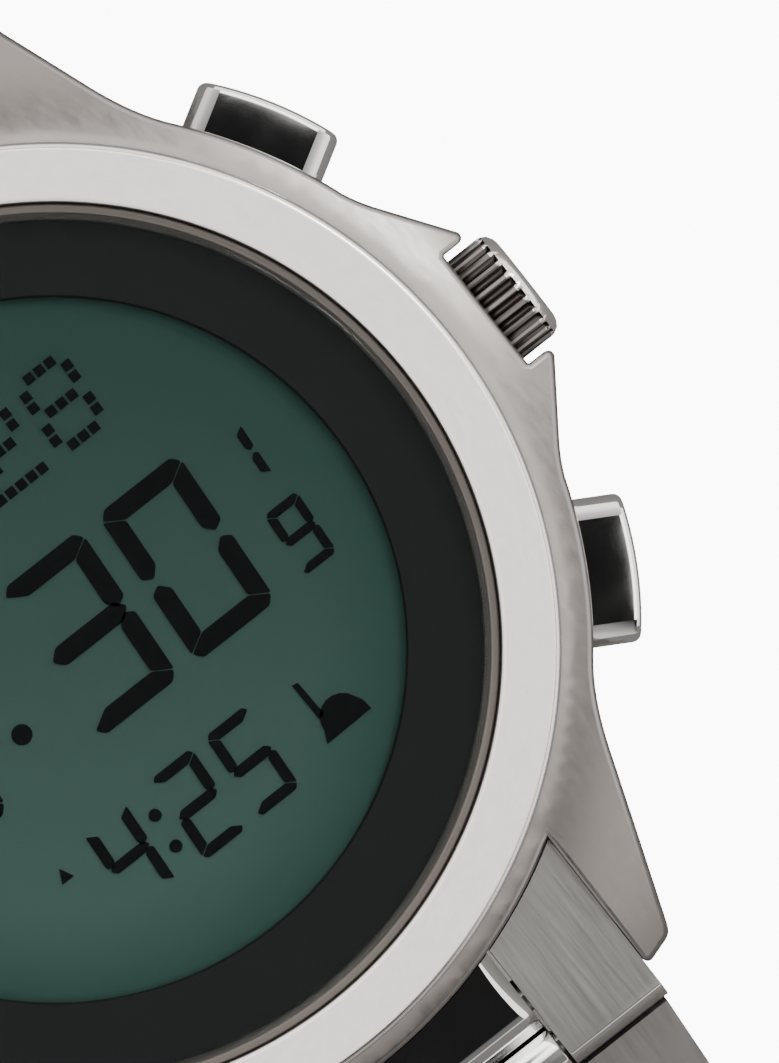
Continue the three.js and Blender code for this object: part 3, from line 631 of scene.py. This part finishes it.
def display_marks():
    """A dotted row, the large time with a small pair beside it, a lower time and three plain marks."""
    bm = bmesh.new()
    for index, glyph in enumerate("0628"):
        dot_glyph(bm, glyph, -4.34 + 3.2 * index, 6.07, pitch=0.53, size=0.42)
    for digit, left in (("3", -9.5), ("3", -0.75), ("0", 4.25)):
        seven_segment(bm, digit, left, -4.0, width=4.1, height=7.2, stroke=0.86)
    for v in (-1.9, 1.5):
        ink_dot(bm, -3.0 + v * SLANT, v, 0.44)
    seven_segment(bm, "1", 9.7, 0.05, width=1.7, height=2.6, stroke=0.38)
    seven_segment(bm, "9", 9.85, -3.95, width=1.65, height=2.95, stroke=0.38)
    lower_row = -10.5
    for digit, left in (("4", -3.95), ("2", -0.45), ("5", 2.35)):
        seven_segment(bm, digit, left, lower_row, width=2.1, height=3.95, stroke=0.46)
    for v in (-9.3, -7.8):
        ink_dot(bm, -1.1 + (v - lower_row) * SLANT, v, 0.27)
    triangle = [(-5.6, -7.7), (-5.0, -7.7), (-5.3, -7.1)]
    bar = [(6.68, -7.1), (6.95, -7.15), (7.02, -8.8), (6.72, -8.85)]
    dome = [(6.35, -9.85), (8.65, -9.8), (8.6, -9.3)] + arc(7.55, -9.35, 0.95, 20, 180, 8)
    for outline in (triangle, bar, dome):
        add_ink(bm, outline)
    piece = finish_mesh("display_marks", bm, ["lcd_ink"])
    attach(piece, "case")


# ---------------------------------------------------------------- case

CASE_LOW = low("case_middle", 2) / MM
CASE_HIGH = high("case_middle", 2) / MM
CASE_RADIUS = 21.88
LUG_HALF_GAP = 11.05
LUG_STARTS = math.radians(39)            # where the lug leaves the round flank
LUG_TIP = (12.72, 24.15)
BRACELET_SIDE_RADIUS = 21.4              # the case between the lugs
DOME_START = 20.6                        # the case top is flat inside this radius, under the bezel
BEZEL_SEAT = 20.2
CASE_EDGE = 0.22
CAVITY = 17.4
CAVITY_LOW = 3.2
BACK_THREAD = 18.2
BACK_SEAT = 19.7
BACK_SEAT_TOP = 1.9
PUSHER_ANGLE = 30                        # degrees from the crown to each pusher
ROUND = 160                              # sides of the case's round walls
CORNER = 0.26                            # radius of a case corner; a smaller one folds over in the inset edge
ALONG_X = Matrix(((0, 0, 1, 0), (1, 0, 0, 0), (0, 1, 0, 0), (0, 0, 0, 1)))     # lays a Z prism along X


def round_flank(radius, start, end, steps):
    turns = (start + (end - start) * k / steps for k in range(steps + 1))
    return [(radius * math.cos(t), radius * math.sin(t)) for t in turns]


def quarter_outline(guard):
    """Case outline from the 3 o'clock axis to the 12 o'clock axis; guard adds half of a crown guard."""
    points, first = [], 0.0
    if guard:
        wall, top, foot = 22.28, (21.5, 5.8), (20.62, 7.31)
        points = [(wall, 0.0), (wall, 2.73), (22.35, 2.8)] + arc(23.116, 3.06, CORNER, -90, 35, 6)
        points += bezier(top, (20.95, 6.55), foot, 5)
        first = math.atan2(foot[1], foot[0])
    points += round_flank(CASE_RADIUS, first, LUG_STARTS, 24)[1 if guard else 0:]
    points += bezier(points[-1], (16.01, 14.99), (15.28, 16.98), 8)[1:]
    points += bezier(LUG_TIP, (12.58, 24.55), (12.25, 24.64), 4)
    points += arc(LUG_HALF_GAP + CORNER, 24.66, CORNER, 73, 180, 5)
    inner = math.acos(LUG_HALF_GAP / BRACELET_SIDE_RADIUS)
    return points + round_flank(BRACELET_SIDE_RADIUS, inner, math.pi / 2, 20)


def case_outline():
    right, left = quarter_outline(True), quarter_outline(False)
    loop = list(right)
    loop += [(-u, v) for u, v in reversed(left)][1:]
    loop += [(-u, -v) for u, v in left][1:]
    loop += [(u, -v) for u, v in reversed(right)][1:-1]
    return spaced(loop, 0.5)


def dome_z(radius):
    """Height of the case top at a radius: flat under the bezel, then falling in a curve to the lug tips."""
    if radius <= DOME_START:
        return CASE_HIGH
    start, control, end = (DOME_START, CASE_HIGH), (24.0, 8.6), (28.2, 4.0)
    a = start[0] - 2 * control[0] + end[0]
    b = 2 * (control[0] - start[0])
    t = (-b + math.sqrt(b * b - 4 * a * (start[0] - radius))) / (2 * a)
    return start[1] * (1 - t) ** 2 + 2 * control[1] * t * (1 - t) + end[1] * t * t


def top_height(u, v):
    return dome_z(math.hypot(u, v))


def loop_at(bm, loop, height):
    """Vertices round a flat loop, at one height."""
    return [bm.verts.new((u * MM, v * MM, height * MM)) for u, v in loop]


def loop_under_dome(bm, loop, drop):
    """Vertices round a loop that follows the case top, lower by the drop."""
    return [bm.verts.new((u * MM, v * MM, (top_height(u, v) - drop) * MM)) for u, v in loop]


def fill_between(bm, loop, hole_radius, height, inner_points=()):
    """Triangles between a closed loop and a round hole, with their heights from a function."""
    hole = circle(hole_radius, ROUND)
    outer = len(loop)
    edges = [(i, (i + 1) % outer) for i in range(outer)]
    edges += [(outer + i, outer + (i + 1) % ROUND) for i in range(ROUND)]
    points = [Vector(p) for p in loop + hole + list(inner_points)]
    only_inside, merge_distance = 1, 1e-5
    verts, _, faces, *_ = delaunay_2d_cdt(points, edges, [], only_inside, merge_distance)
    made = [bm.verts.new((p.x * MM, p.y * MM, height(p.x, p.y) * MM)) for p in verts]
    rim = hole_radius + 0.01             # a face with no corner beyond this lies in the hole
    for face in faces:
        if any(verts[i].length > rim for i in face):
            bm.faces.new([made[i] for i in face])


def dome_grid(loop, hole_radius):
    """Points that let the triangles of the case top follow the dome, clear of its rims."""
    spacing, clearance = 0.55, 0.3
    steps = int(27 / spacing)
    edge = [Vector(p) for p in loop]
    grid = []
    for i in range(-steps, steps + 1):
        for j in range(-steps, steps + 1):
            u, v = i * spacing, j * spacing
            if math.hypot(u, v) < hole_radius + clearance:
                continue
            if min((p - Vector((u, v))).length_squared for p in edge) > clearance ** 2:
                grid.append((u, v))
    return grid


def case_shell():
    """Case with lugs and crown guards: rounded rims, domed top, and the stepped cavity of the module."""
    outline = case_outline()
    steps = 3
    strip = 0.03                         # keeps the rim's shading off the dome
    bm = bmesh.new()
    loops = []
    turns = [math.pi / 2 * k / steps for k in range(steps + 1)]
    for turn in turns:
        loop = inset(outline, CASE_EDGE * (1 - math.sin(turn)))
        loops.append(loop_at(bm, loop, CASE_LOW + CASE_EDGE * (1 - math.cos(turn))))
    for turn in turns:
        loop = inset(outline, CASE_EDGE * (1 - math.cos(turn)))
        loops.append(loop_under_dome(bm, loop, CASE_EDGE * (1 - math.sin(turn))))
    last = inset(outline, CASE_EDGE + strip)
    loops.append(loop_under_dome(bm, last, 0))
    top_rim = (steps + 2, steps + 3, steps + 4)
    for index, (a, b) in enumerate(zip(loops, loops[1:])):
        loft(bm, a, b, 1 if index in top_rim else 0)
    fill_between(bm, last, BEZEL_SEAT, top_height, dome_grid(last, BEZEL_SEAT))
    walls = [(BEZEL_SEAT, CASE_HIGH), (CAVITY, CASE_HIGH), (CAVITY, CAVITY_LOW), (BACK_THREAD, CAVITY_LOW),
             (BACK_THREAD, BACK_SEAT_TOP), (BACK_SEAT, BACK_SEAT_TOP), (BACK_SEAT, CASE_LOW)]
    rings = [loop_at(bm, circle(radius, ROUND), z) for radius, z in walls]
    for a, b in zip(rings, rings[1:]):
        loft(bm, b, a)
    fill_between(bm, inset(outline, CASE_EDGE), BACK_SEAT, lambda u, v: CASE_LOW)
    bmesh.ops.remove_doubles(bm, verts=bm.verts, dist=0.002 * MM)
    piece = finish_mesh("case_shell", bm, ["case_satin", "case_edge"])
    subtract(piece, case_pockets())
    shade_by_angle(piece.data, 32)
    stand_for(piece, "case_middle", "case")


def cutter(outline, z0, z1, transform):
    """Closed prism along Z of an outline, placed by a matrix."""
    bm = bmesh.new()
    near, far = loop_at(bm, outline, z0), loop_at(bm, outline, z1)
    bm.faces.new(list(reversed(near)))
    bm.faces.new(far)
    loft(bm, near, far)
    bm.transform(transform)
    bmesh.ops.recalc_face_normals(bm, faces=bm.faces)
    mesh = bpy.data.meshes.new("cutter")
    bm.to_mesh(mesh)
    bm.free()
    return link(bpy.data.objects.new("cutter", mesh))


def case_pockets():
    """Cutters for the recesses of the crown and the pushers, and for the holes of the spring bars."""
    crown_floor, pusher_floor, outside = 21.14, 20.5, 25
    height = Matrix.Translation((0, 0, CONTROL_Z))
    cutters = [cutter(circle(2.86, 48), crown_floor, outside, height @ ALONG_X)]
    half, tall = 3.35, 2.1
    slot = rounded([(-half, -tall), (half, -tall), (half, tall), (-half, tall)], 0.5, 4)
    bar_hole = circle(0.55, 24)
    lug_side, bar_end = LUG_HALF_GAP - 0.55, LUG_HALF_GAP + 1.25
    for name, side in SIDES.items():
        turn = Matrix.Rotation(math.radians(PUSHER_ANGLE * side), 4, "Z")
        cutters.append(cutter(slot, pusher_floor, outside, turn @ height @ ALONG_X))
        bar_low, bar_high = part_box(f"{name}_spring_bar")
        middle = Matrix.Translation((0, (bar_low.y + bar_high.y) / 2, (bar_low.z + bar_high.z) / 2))
        cutters += [cutter(bar_hole, x0, x1, middle @ ALONG_X) for x0, x1 in both_sides(lug_side, bar_end)]
    return cutters


# ---------------------------------------------------------------- crown and pushers

STEM_RADIUS = 0.8
STEM_END = 16.7
CROWN_FLUTES = 24
CROWN_GROOVE = 0.26


def crown_loop(bm, x, radius, flute, share):
    """Vertices round the crown at x, with the grooves of the flute profile at a share of their depth."""
    around = CROWN_FLUTES * len(flute)
    verts = []
    for i in range(around):
        turn = 2 * math.pi * i / around
        r = radius - CROWN_GROOVE * flute[i % len(flute)] * share
        verts.append(bm.verts.new((x * MM, r * math.cos(turn) * MM, r * math.sin(turn) * MM + CONTROL_Z)))
    return verts


def close_with_point(bm, loop, x, outwards):
    """Triangles from a loop round the crown's axis to a point on it."""
    tip = bm.verts.new((x * MM, 0, CONTROL_Z))
    for i, vertex in enumerate(loop):
        following = loop[(i + 1) % len(loop)]
        bm.faces.new((vertex, following, tip) if outwards else (following, vertex, tip))


def crown_head():
    """Fluted crown with a polished, chamfered end, hollow behind, on its stem."""
    flute = [0.0, 0.0, 0.0, 0.35, 0.8, 1.0, 1.0, 1.0, 0.8, 0.35]
    base, end, radius = 22.04, 24.38, 2.5
    skirt, hollow_end = 1.95, 23.5
    sections = [                         # place along X, radius, and share of the flutes' depth
        (base, skirt, 0), (base, 2.15, 0), (base, radius - 0.22, 0.6),
        (base + 0.12, radius - 0.06, 1), (base + 0.28, radius, 1), (end - 0.62, radius, 1),
        (end - 0.5, radius - 0.01, 0.55), (end - 0.42, radius - 0.04, 0), (end - 0.2, radius - 0.16, 0),
        (end - 0.05, radius - 0.4, 0), (end, radius - 0.6, 0), (end, 1.4, 0), (end - 0.03, 0.6, 0),
    ]
    fluted, ridged = range(2, 7), (3, 4)     # steps between sections, from the base
    mirror, groove_painted_shade, ridge = range(3)
    bm = bmesh.new()
    loops = [crown_loop(bm, x, outer, flute, share) for x, outer, share in sections]
    for number, (a, b) in enumerate(zip(loops, loops[1:])):
        for i in range(len(a)):
            j = (i + 1) % len(a)
            # the grooves' faces take the near-black steel that paints the shade in them
            in_groove = number in fluted and 3 <= i % len(flute) <= 8
            face = bm.faces.new((a[i], a[j], b[j], b[i]))
            face.material_index = groove_painted_shade if in_groove else (ridge if number in ridged else mirror)
    close_with_point(bm, loops[-1], end - 0.03, True)
    inside = [(hollow_end, skirt), (hollow_end, STEM_RADIUS), (STEM_END, STEM_RADIUS)]
    rings = [loops[0]] + [crown_loop(bm, x, r, flute, 0) for x, r in inside]
    for a, b in zip(rings, rings[1:]):
        loft(bm, b, a)
    close_with_point(bm, rings[-1], STEM_END, False)
    piece = finish_mesh("crown_head", bm, ["crown_mirror", "groove_painted_shade", "ridge"], 40)
    stand_for(piece, "crown", "crown")


def pusher_outline():
    """End-on shape of a pusher, half above and half below: a flat top that rolls off to both ends."""
    half, tall, flat = 3.05, 1.8, 2.15
    roll = bezier((flat, tall), (half - 0.12, tall - 0.22), (half, tall - 1.05), 7)
    across = [(flat * k / 4, tall) for k in range(4)] + roll
    upper = [(-t, z) for t, z in reversed(across)][:-1] + across
    lower = [(t, -z) for t, z in reversed(upper)]
    return upper + lower, half


def pusher_cap(name, side):
    """Polished button with a rolled rim and a bowed outer face, and its stem."""
    base, end, bow = 21.6, 23.94, 0.30
    rim, steps = 0.32, 4
    outline, half = pusher_outline()

    def section(shrink, x_at):
        loop = inset(list(reversed(outline)), shrink) if shrink else reversed(outline)
        return [bm.verts.new((x_at(t) * MM, t * MM, z * MM + CONTROL_Z)) for t, z in loop]

    bm = bmesh.new()
    rows = [section(0, lambda t: base)]
    for k in range(steps + 1):
        turn = math.pi / 2 * k / steps
        face_end = end - rim * (1 - math.sin(turn))
        rows.append(section(rim * (1 - math.cos(turn)), lambda t, x=face_end: x - bow * (t / half) ** 2))
    for a, b in zip(rows, rows[1:]):
        loft(bm, a, b)
    bm.faces.new(rows[0])
    last = rows[-1]
    for i in range(len(last) // 2 - 1):
        bm.faces.new((last[i], last[i + 1], last[-2 - i], last[-1 - i]))
    near, far = ([bm.verts.new((x * MM, u * MM, v * MM + CONTROL_Z)) for u, v in circle(STEM_RADIUS, 32)]
                 for x in (STEM_END, base - 0.02))
    bm.faces.new(near)
    bm.faces.new(list(reversed(far)))
    loft(bm, near, far)
    bm.transform(Matrix.Rotation(math.radians(PUSHER_ANGLE * side), 4, "Z"))
    piece = finish_mesh(f"{name}_pusher_cap", bm, ["mirror"], 14)
    stand_for(piece, f"{name}_pusher", f"{name}_pusher")


# ---------------------------------------------------------------- bracelet

HALF_THICKNESS = 1.3
HOLLOW = HALF_THICKNESS + 0.2            # radius of the hollow that the next link's round end turns in
PITCH = 9.2
CENTRE_HALF = 6.2
WING_START = 6.35
HEAD_HALF = 10.85
END_LINK_HALF = 11.03                    # the end link fills the space between the lugs
CLASP_HALF = 9.3
FIRST_ANGLE = 58                         # degrees that the first link hangs down, and that each one adds
TURN = 22
PIN_RADIUS = 0.45
HALF_TURN = Matrix.Rotation(math.pi, 4, "Z")


def add_webs(bm, corners):
    """The hidden bars that hold the wings to the middle."""
    for x0, x1 in both_sides(CENTRE_HALF - 0.05, WING_START + 0.05):
        add_prism(bm, corners, x0, x1, 0)


def half_width(step):
    """Half the bracelet's width, so many links from the head; it narrows evenly to the clasp."""
    return HEAD_HALF + (CLASP_HALF - HEAD_HALF) * step / LINKS


def link_piece(name, side, number):
    """One bracelet link: two brushed wings with their pin ends, and a mirror-polished middle."""
    wing = arc(PITCH, 0, HALF_THICKNESS, -90, 90, 14) + arc(0, 0, HOLLOW, 60, -60, 10)
    centre = arc(0, 0, HALF_THICKNESS, 90, 270, 14) + arc(PITCH, 0, HOLLOW, 240, 120, 10)
    reach, tall = 2.2, 0.85
    bm = bmesh.new()
    add_prism(bm, centre, -CENTRE_HALF, CENTRE_HALF, 0.2, 1)
    for x0, x1 in both_sides(WING_START, HEAD_HALF):
        add_prism(bm, wing, x0, x1, 0.13)
    add_webs(bm, [(reach, -tall), (PITCH - reach, -tall), (PITCH - reach, tall), (reach, tall)])
    pin_end = [(PITCH + y, z) for y, z in circle(PIN_RADIUS, 24)]
    for edge in (-HEAD_HALF, HEAD_HALF):
        add_prism(bm, pin_end, edge - 0.04, edge + 0.04, 0, 1)
    for vertex in bm.verts:
        vertex.co.x *= half_width(number - 1 + vertex.co.y / PITCH) / HEAD_HALF
    hang = Matrix.Rotation(-math.radians(FIRST_ANGLE + TURN * (number - 1)), 4, "X")
    place = Matrix.Translation(pivot(f"upper_link_{number}_hinge")) @ hang
    bm.transform(place @ Matrix.Scale(MM, 4))
    if side < 0:
        bm.transform(HALF_TURN)
    piece = finish_mesh(f"{name}_bracelet_link_{number}", bm, ["link_brushed", "mirror"], 30)
    body = f"{name}_link_{number}"
    stand_for(piece, body, body)


def side_chamfer(bm, profile, x_edge):
    """Top edge and wall edge of a crescent-shaped cut along one side, deepest half way along."""
    depth, drop = math.copysign(0.62, x_edge), 0.5
    top, wall = [], []
    last = len(profile) - 1
    for i, (y, z) in enumerate(profile):
        share = max(0.0, math.sin(math.pi * i / last)) ** 0.8
        top.append(bm.verts.new((x_edge - depth * share, y, z)))
        wall.append(bm.verts.new((x_edge, y, z - drop * share)))
    return top, wall


def crescent_prism(bm, top_profile, rest, half, material):
    """Prism along X whose top profile has a crescent cut down each side."""
    left_top, left_wall = side_chamfer(bm, top_profile, -half)
    right_top, right_wall = side_chamfer(bm, top_profile, half)
    left_rest = [bm.verts.new((-half, y, z)) for y, z in rest]
    right_rest = [bm.verts.new((half, y, z)) for y, z in rest]
    under_left = [left_wall[-1]] + left_rest + [left_wall[0]]
    under_right = [right_wall[-1]] + right_rest + [right_wall[0]]
    strips = [(left_top, right_top), (left_wall, left_top), (right_top, right_wall),
              (under_left, under_right)]
    faces = [bm.faces.new((a[i], a[i + 1], b[i + 1], b[i])) for a, b in strips for i in range(len(a) - 1)]
    faces.append(bm.faces.new(left_wall + left_rest))
    faces.append(bm.faces.new(list(reversed(right_wall + right_rest))))
    for face in faces:
        face.material_index = material


def end_link_piece(name, side):
    """Fitted end link, cut to the case's curve: brushed wings, polished middle, polished line at its end."""
    hinge = pivot("upper_link_1_hinge")
    y, z = hinge.y / MM, hinge.z / MM
    back = 18.2                          # inside the case's curve, so that the cut makes the rear face
    nose, shoulder = (26.1, 4.70), (23.25, 6.43)
    wing = [(back, z - HALF_THICKNESS)] + arc(y, z, HALF_THICKNESS, -90, 30, 12)
    wing += [(26.22, 3.9), (26.18, 4.45), nose] + bezier((25.86, 4.93), (22.9, 6.76), (back, 8.42), 12)
    top = [(back, 8.3)] + bezier(shoulder, (23.95, 6.15), (24.03, 5.1), 8)
    rest = arc(y, z, HOLLOW, 122, 240, 10) + [(back, z - HALF_THICKNESS)]
    bm = bmesh.new()
    crescent_prism(bm, spaced_open(top, 0.3), rest, CENTRE_HALF, 1)
    for x0, x1 in both_sides(WING_START, END_LINK_HALF):
        add_prism(bm, wing, x0, x1, 0.06)
    add_webs(bm, [(21.8, 2.2), (23.2, 2.2), (23.2, 4.7), (21.8, 4.7)])
    bm.transform(Matrix.Scale(MM, 4))
    piece = finish_mesh(f"{name}_end_piece", bm, ["link_brushed", "mirror"], 30)
    mesh = subtract(piece, [cutter(circle(BRACELET_SIDE_RADIUS + 0.07, 256), 0, 12, Matrix.Identity(4))])
    end_line = nose[0] - 0.4
    for polygon in mesh.polygons:
        if polygon.center.y > end_line * MM and 0.6 < polygon.normal.z < 0.8:
            polygon.material_index = 1
    if side < 0:
        mesh.transform(HALF_TURN)
    shade_by_angle(mesh, 30)
    stand_for(piece, f"{name}_end_link", "case")


# ---------------------------------------------------------------- carried-over nodes


def repaint(node, finish, bevel=0.0, angle=30):
    """A CAD node that keeps its shape: new material, smooth below the angle, softened edges."""
    target = NODES[node]
    target.data.materials.clear()
    target.data.materials.append(MATERIALS[finish])
    for polygon in target.data.polygons:
        polygon.use_smooth = True
        polygon.material_index = 0
    weld = target.modifiers.new("weld", "WELD")
    weld.merge_threshold = 0.001 * MM
    if bevel:
        modifier = target.modifiers.new("soft_edges", "BEVEL")
        modifier.width = bevel * MM
        modifier.segments = 2
        modifier.limit_method = "ANGLE"
        modifier.angle_limit = math.radians(angle)
        modifier.harden_normals = True
    split = target.modifiers.new("crisp_edges", "EDGE_SPLIT")
    split.split_angle = math.radians(angle)


def repaint_carried_over():
    finishes = {
        "light_sheet": ["backlight_panel"], "housing": ["module_housing"], "board": ["circuit_board"],
        "chip": ["controller_chip"], "cell_steel": ["battery"], "brass": ["buzzer_disc"],
        "rubber": ["connector_strip", "case_back_gasket", "crown_seal"],
        "wire_steel": ["battery_strap", "crown_tube", "crown_clip", "clasp_inner_pin", "clasp_outer_pin"],
    }
    wires = ["pusher_spring", "pusher_clip", "spring_bar", "clasp_bar"]
    wires += [f"link_pin_{number}" for number in range(1, LINKS + 1)]
    for name in SIDES:
        finishes["rubber"].append(f"{name}_pusher_seal")
        finishes["wire_steel"] += [f"{name}_{wire}" for wire in wires]
    for finish, nodes in finishes.items():
        for node in nodes:
            repaint(node, finish)
    repaint("case_back", "bezel_satin", 0.12)
    repaint("clasp_base_blade", "mirror", 0.08, 40)
    repaint("clasp_middle_blade", "mirror", 0.08, 40)
    repaint("clasp_cover", "link_brushed", 0.15, 40)


# ---------------------------------------------------------------- stage, light and camera

FLOOR_REACH = 1.5
FLOOR_GLOW = 9.0                         # where the camera sees it directly
SKY_STRENGTH = 1.3
WATCH_TURN = math.radians(38.2)          # the crown points up to the right in the picture
FRAME_HEIGHT = 42.98 * MM                # height of the picture at the bezel
AIM = (13.58 * MM, 4.79 * MM)            # picture centre from the case axis, right and up
DISTANCE = 1.5


def build_stage():
    """Pale floor, lit for the camera only and dimmer in mirrors, with a soft shadow under the watch."""
    height = min(corner[2] for corner in CAD_BOX) - 0.2 * MM
    square = [(x * FLOOR_REACH, y * FLOOR_REACH, height) for x, y in ((-1, -1), (1, -1), (1, 1), (-1, 1))]
    mesh = bpy.data.meshes.new("floor")
    mesh.from_pydata(square, [], [(0, 1, 2, 3)])
    made = bpy.data.materials.new("floor_white")
    mesh.materials.append(made)
    n = Nodes(made)
    paper = n.noise(900, 3.0)
    x, y, _ = n.position()
    rays = n.add("ShaderNodeLightPath")
    direct, mirrored = rays.outputs["Is Camera Ray"], rays.outputs["Is Glossy Ray"]
    under_x = n.spread(n.math("ABSOLUTE", x), 1.0, 0.0, 5.0 * MM, 11.3 * MM)
    under_y = n.spread(n.math("ABSOLUTE", y), 1.0, 0.0, 12.0 * MM, 24.5 * MM)
    shadow = n.math("MULTIPLY", under_x, under_y)
    tone = n.mix(mirrored, n.mix(paper, grey(0.92), grey(0.96)), shade((0.15, 0.143, 0.138)))
    lit = n.math("MULTIPLY", direct, n.spread(shadow, 1.0, 0.06, 0.0, 1.0))
    n.finish(Base_Color=tone, Roughness=0.9, Emission_Color=grey(1),
             Emission_Strength=n.math("MULTIPLY", lit, FLOOR_GLOW))
    link(bpy.data.objects.new("floor", mesh))


def build_world():
    """Pale studio as polished faces mirror it: a dark cap straight above inside a bright ring, a dark card
    high towards six o'clock and another low down, and less light from the side across from the crown."""
    world = bpy.data.worlds.new("studio")
    bpy.context.scene.world = world
    n = Nodes(world)
    split = n.add("ShaderNodeSeparateXYZ", Vector=n.add("ShaderNodeTexCoord").outputs["Generated"])
    x, y, z = (split.outputs[axis] for axis in "XYZ")
    sideways = n.math("ABSOLUTE", x)

    def card(level, share, six, width, above):
        """A dark patch towards six o'clock; six, width and above are the soft ends of its three limits."""
        towards_six = n.spread(y, share, 0.0, *six)
        narrow = n.math("MULTIPLY", towards_six, n.spread(sideways, 1.0, 0.0, *width))
        return n.math("MULTIPLY", narrow, n.spread(z, 0.0, 1.0, *above)), grey(level)

    towards_crown = n.weighted(x, 0.966, y, 0.259)       # along the key light's bearing
    layers = [
        (n.spread(towards_crown, 0.62, 0.0, -0.35, 0.55), shade((0.14, 0.135, 0.13))),
        (n.spread(z, 0.0, 1.0, 0.84, 0.89), shade((3.15, 3.09, 3.03))),
        card(0.1, 0.92, six=(-0.86, -0.64), width=(0.25, 0.42), above=(0.04, 0.1)),
        card(0.012, 1.0, six=(-0.38, -0.16), width=(0.14, 0.28), above=(0.46, 0.54)),
        (n.spread(z, 0.0, 1.0, 0.962, 0.978), grey(0.008)),
    ]
    sky = n.mix(n.spread(z, 0.0, 1.0, 0.35, 0.75), shade((1.7, 1.65, 1.61)), shade((0.5, 0.485, 0.475)))
    for factor, color in layers:
        sky = n.mix(factor, sky, color)
    background = n.add("ShaderNodeBackground", Color=sky, Strength=SKY_STRENGTH)
    n.set(n.output, "Surface", background.outputs[0])


def build_light():
    """One soft key light, high on the crown's side."""
    bearing, fall, distance = math.radians(15), math.radians(47), 0.7
    towards = Vector((math.sin(fall) * math.cos(bearing), math.sin(fall) * math.sin(bearing), math.cos(fall)))
    light = bpy.data.lights.new("key", "AREA")
    light.shape = "DISK"
    light.size = 0.25
    light.energy = 2.3
    lamp = link(bpy.data.objects.new("key", light))
    lamp.location = distance * towards
    lamp.rotation_euler = (-towards).to_track_quat("-Z", "Y").to_euler()


def build_camera():
    """Looks straight down on the display from far away, shifted to the photo's part of the watch."""
    camera = bpy.data.cameras.new("camera")
    camera.sensor_fit = "VERTICAL"
    camera.sensor_height = 24
    camera.lens = camera.sensor_height * DISTANCE / FRAME_HEIGHT
    camera.shift_x = AIM[0] / FRAME_HEIGHT
    camera.shift_y = AIM[1] / FRAME_HEIGHT
    camera.clip_start = 0.1
    camera.clip_end = 10
    eye = link(bpy.data.objects.new("camera", camera))
    eye.location = (0, 0, BEZEL_TOP + DISTANCE)
    eye.rotation_euler = (0, 0, -WATCH_TURN)
    bpy.context.scene.camera = eye


# ---------------------------------------------------------------- build

bezel_ring()
crystal_lens()
gasket_ring()
mask_ring()
lcd_glass()
display_marks()
case_shell()
crown_head()
for label, direction in SIDES.items():
    pusher_cap(label, direction)
    end_link_piece(label, direction)
    for index in range(1, LINKS + 1):
        link_piece(label, direction, index)
repaint_carried_over()
build_stage()
build_world()
build_light()
build_camera()
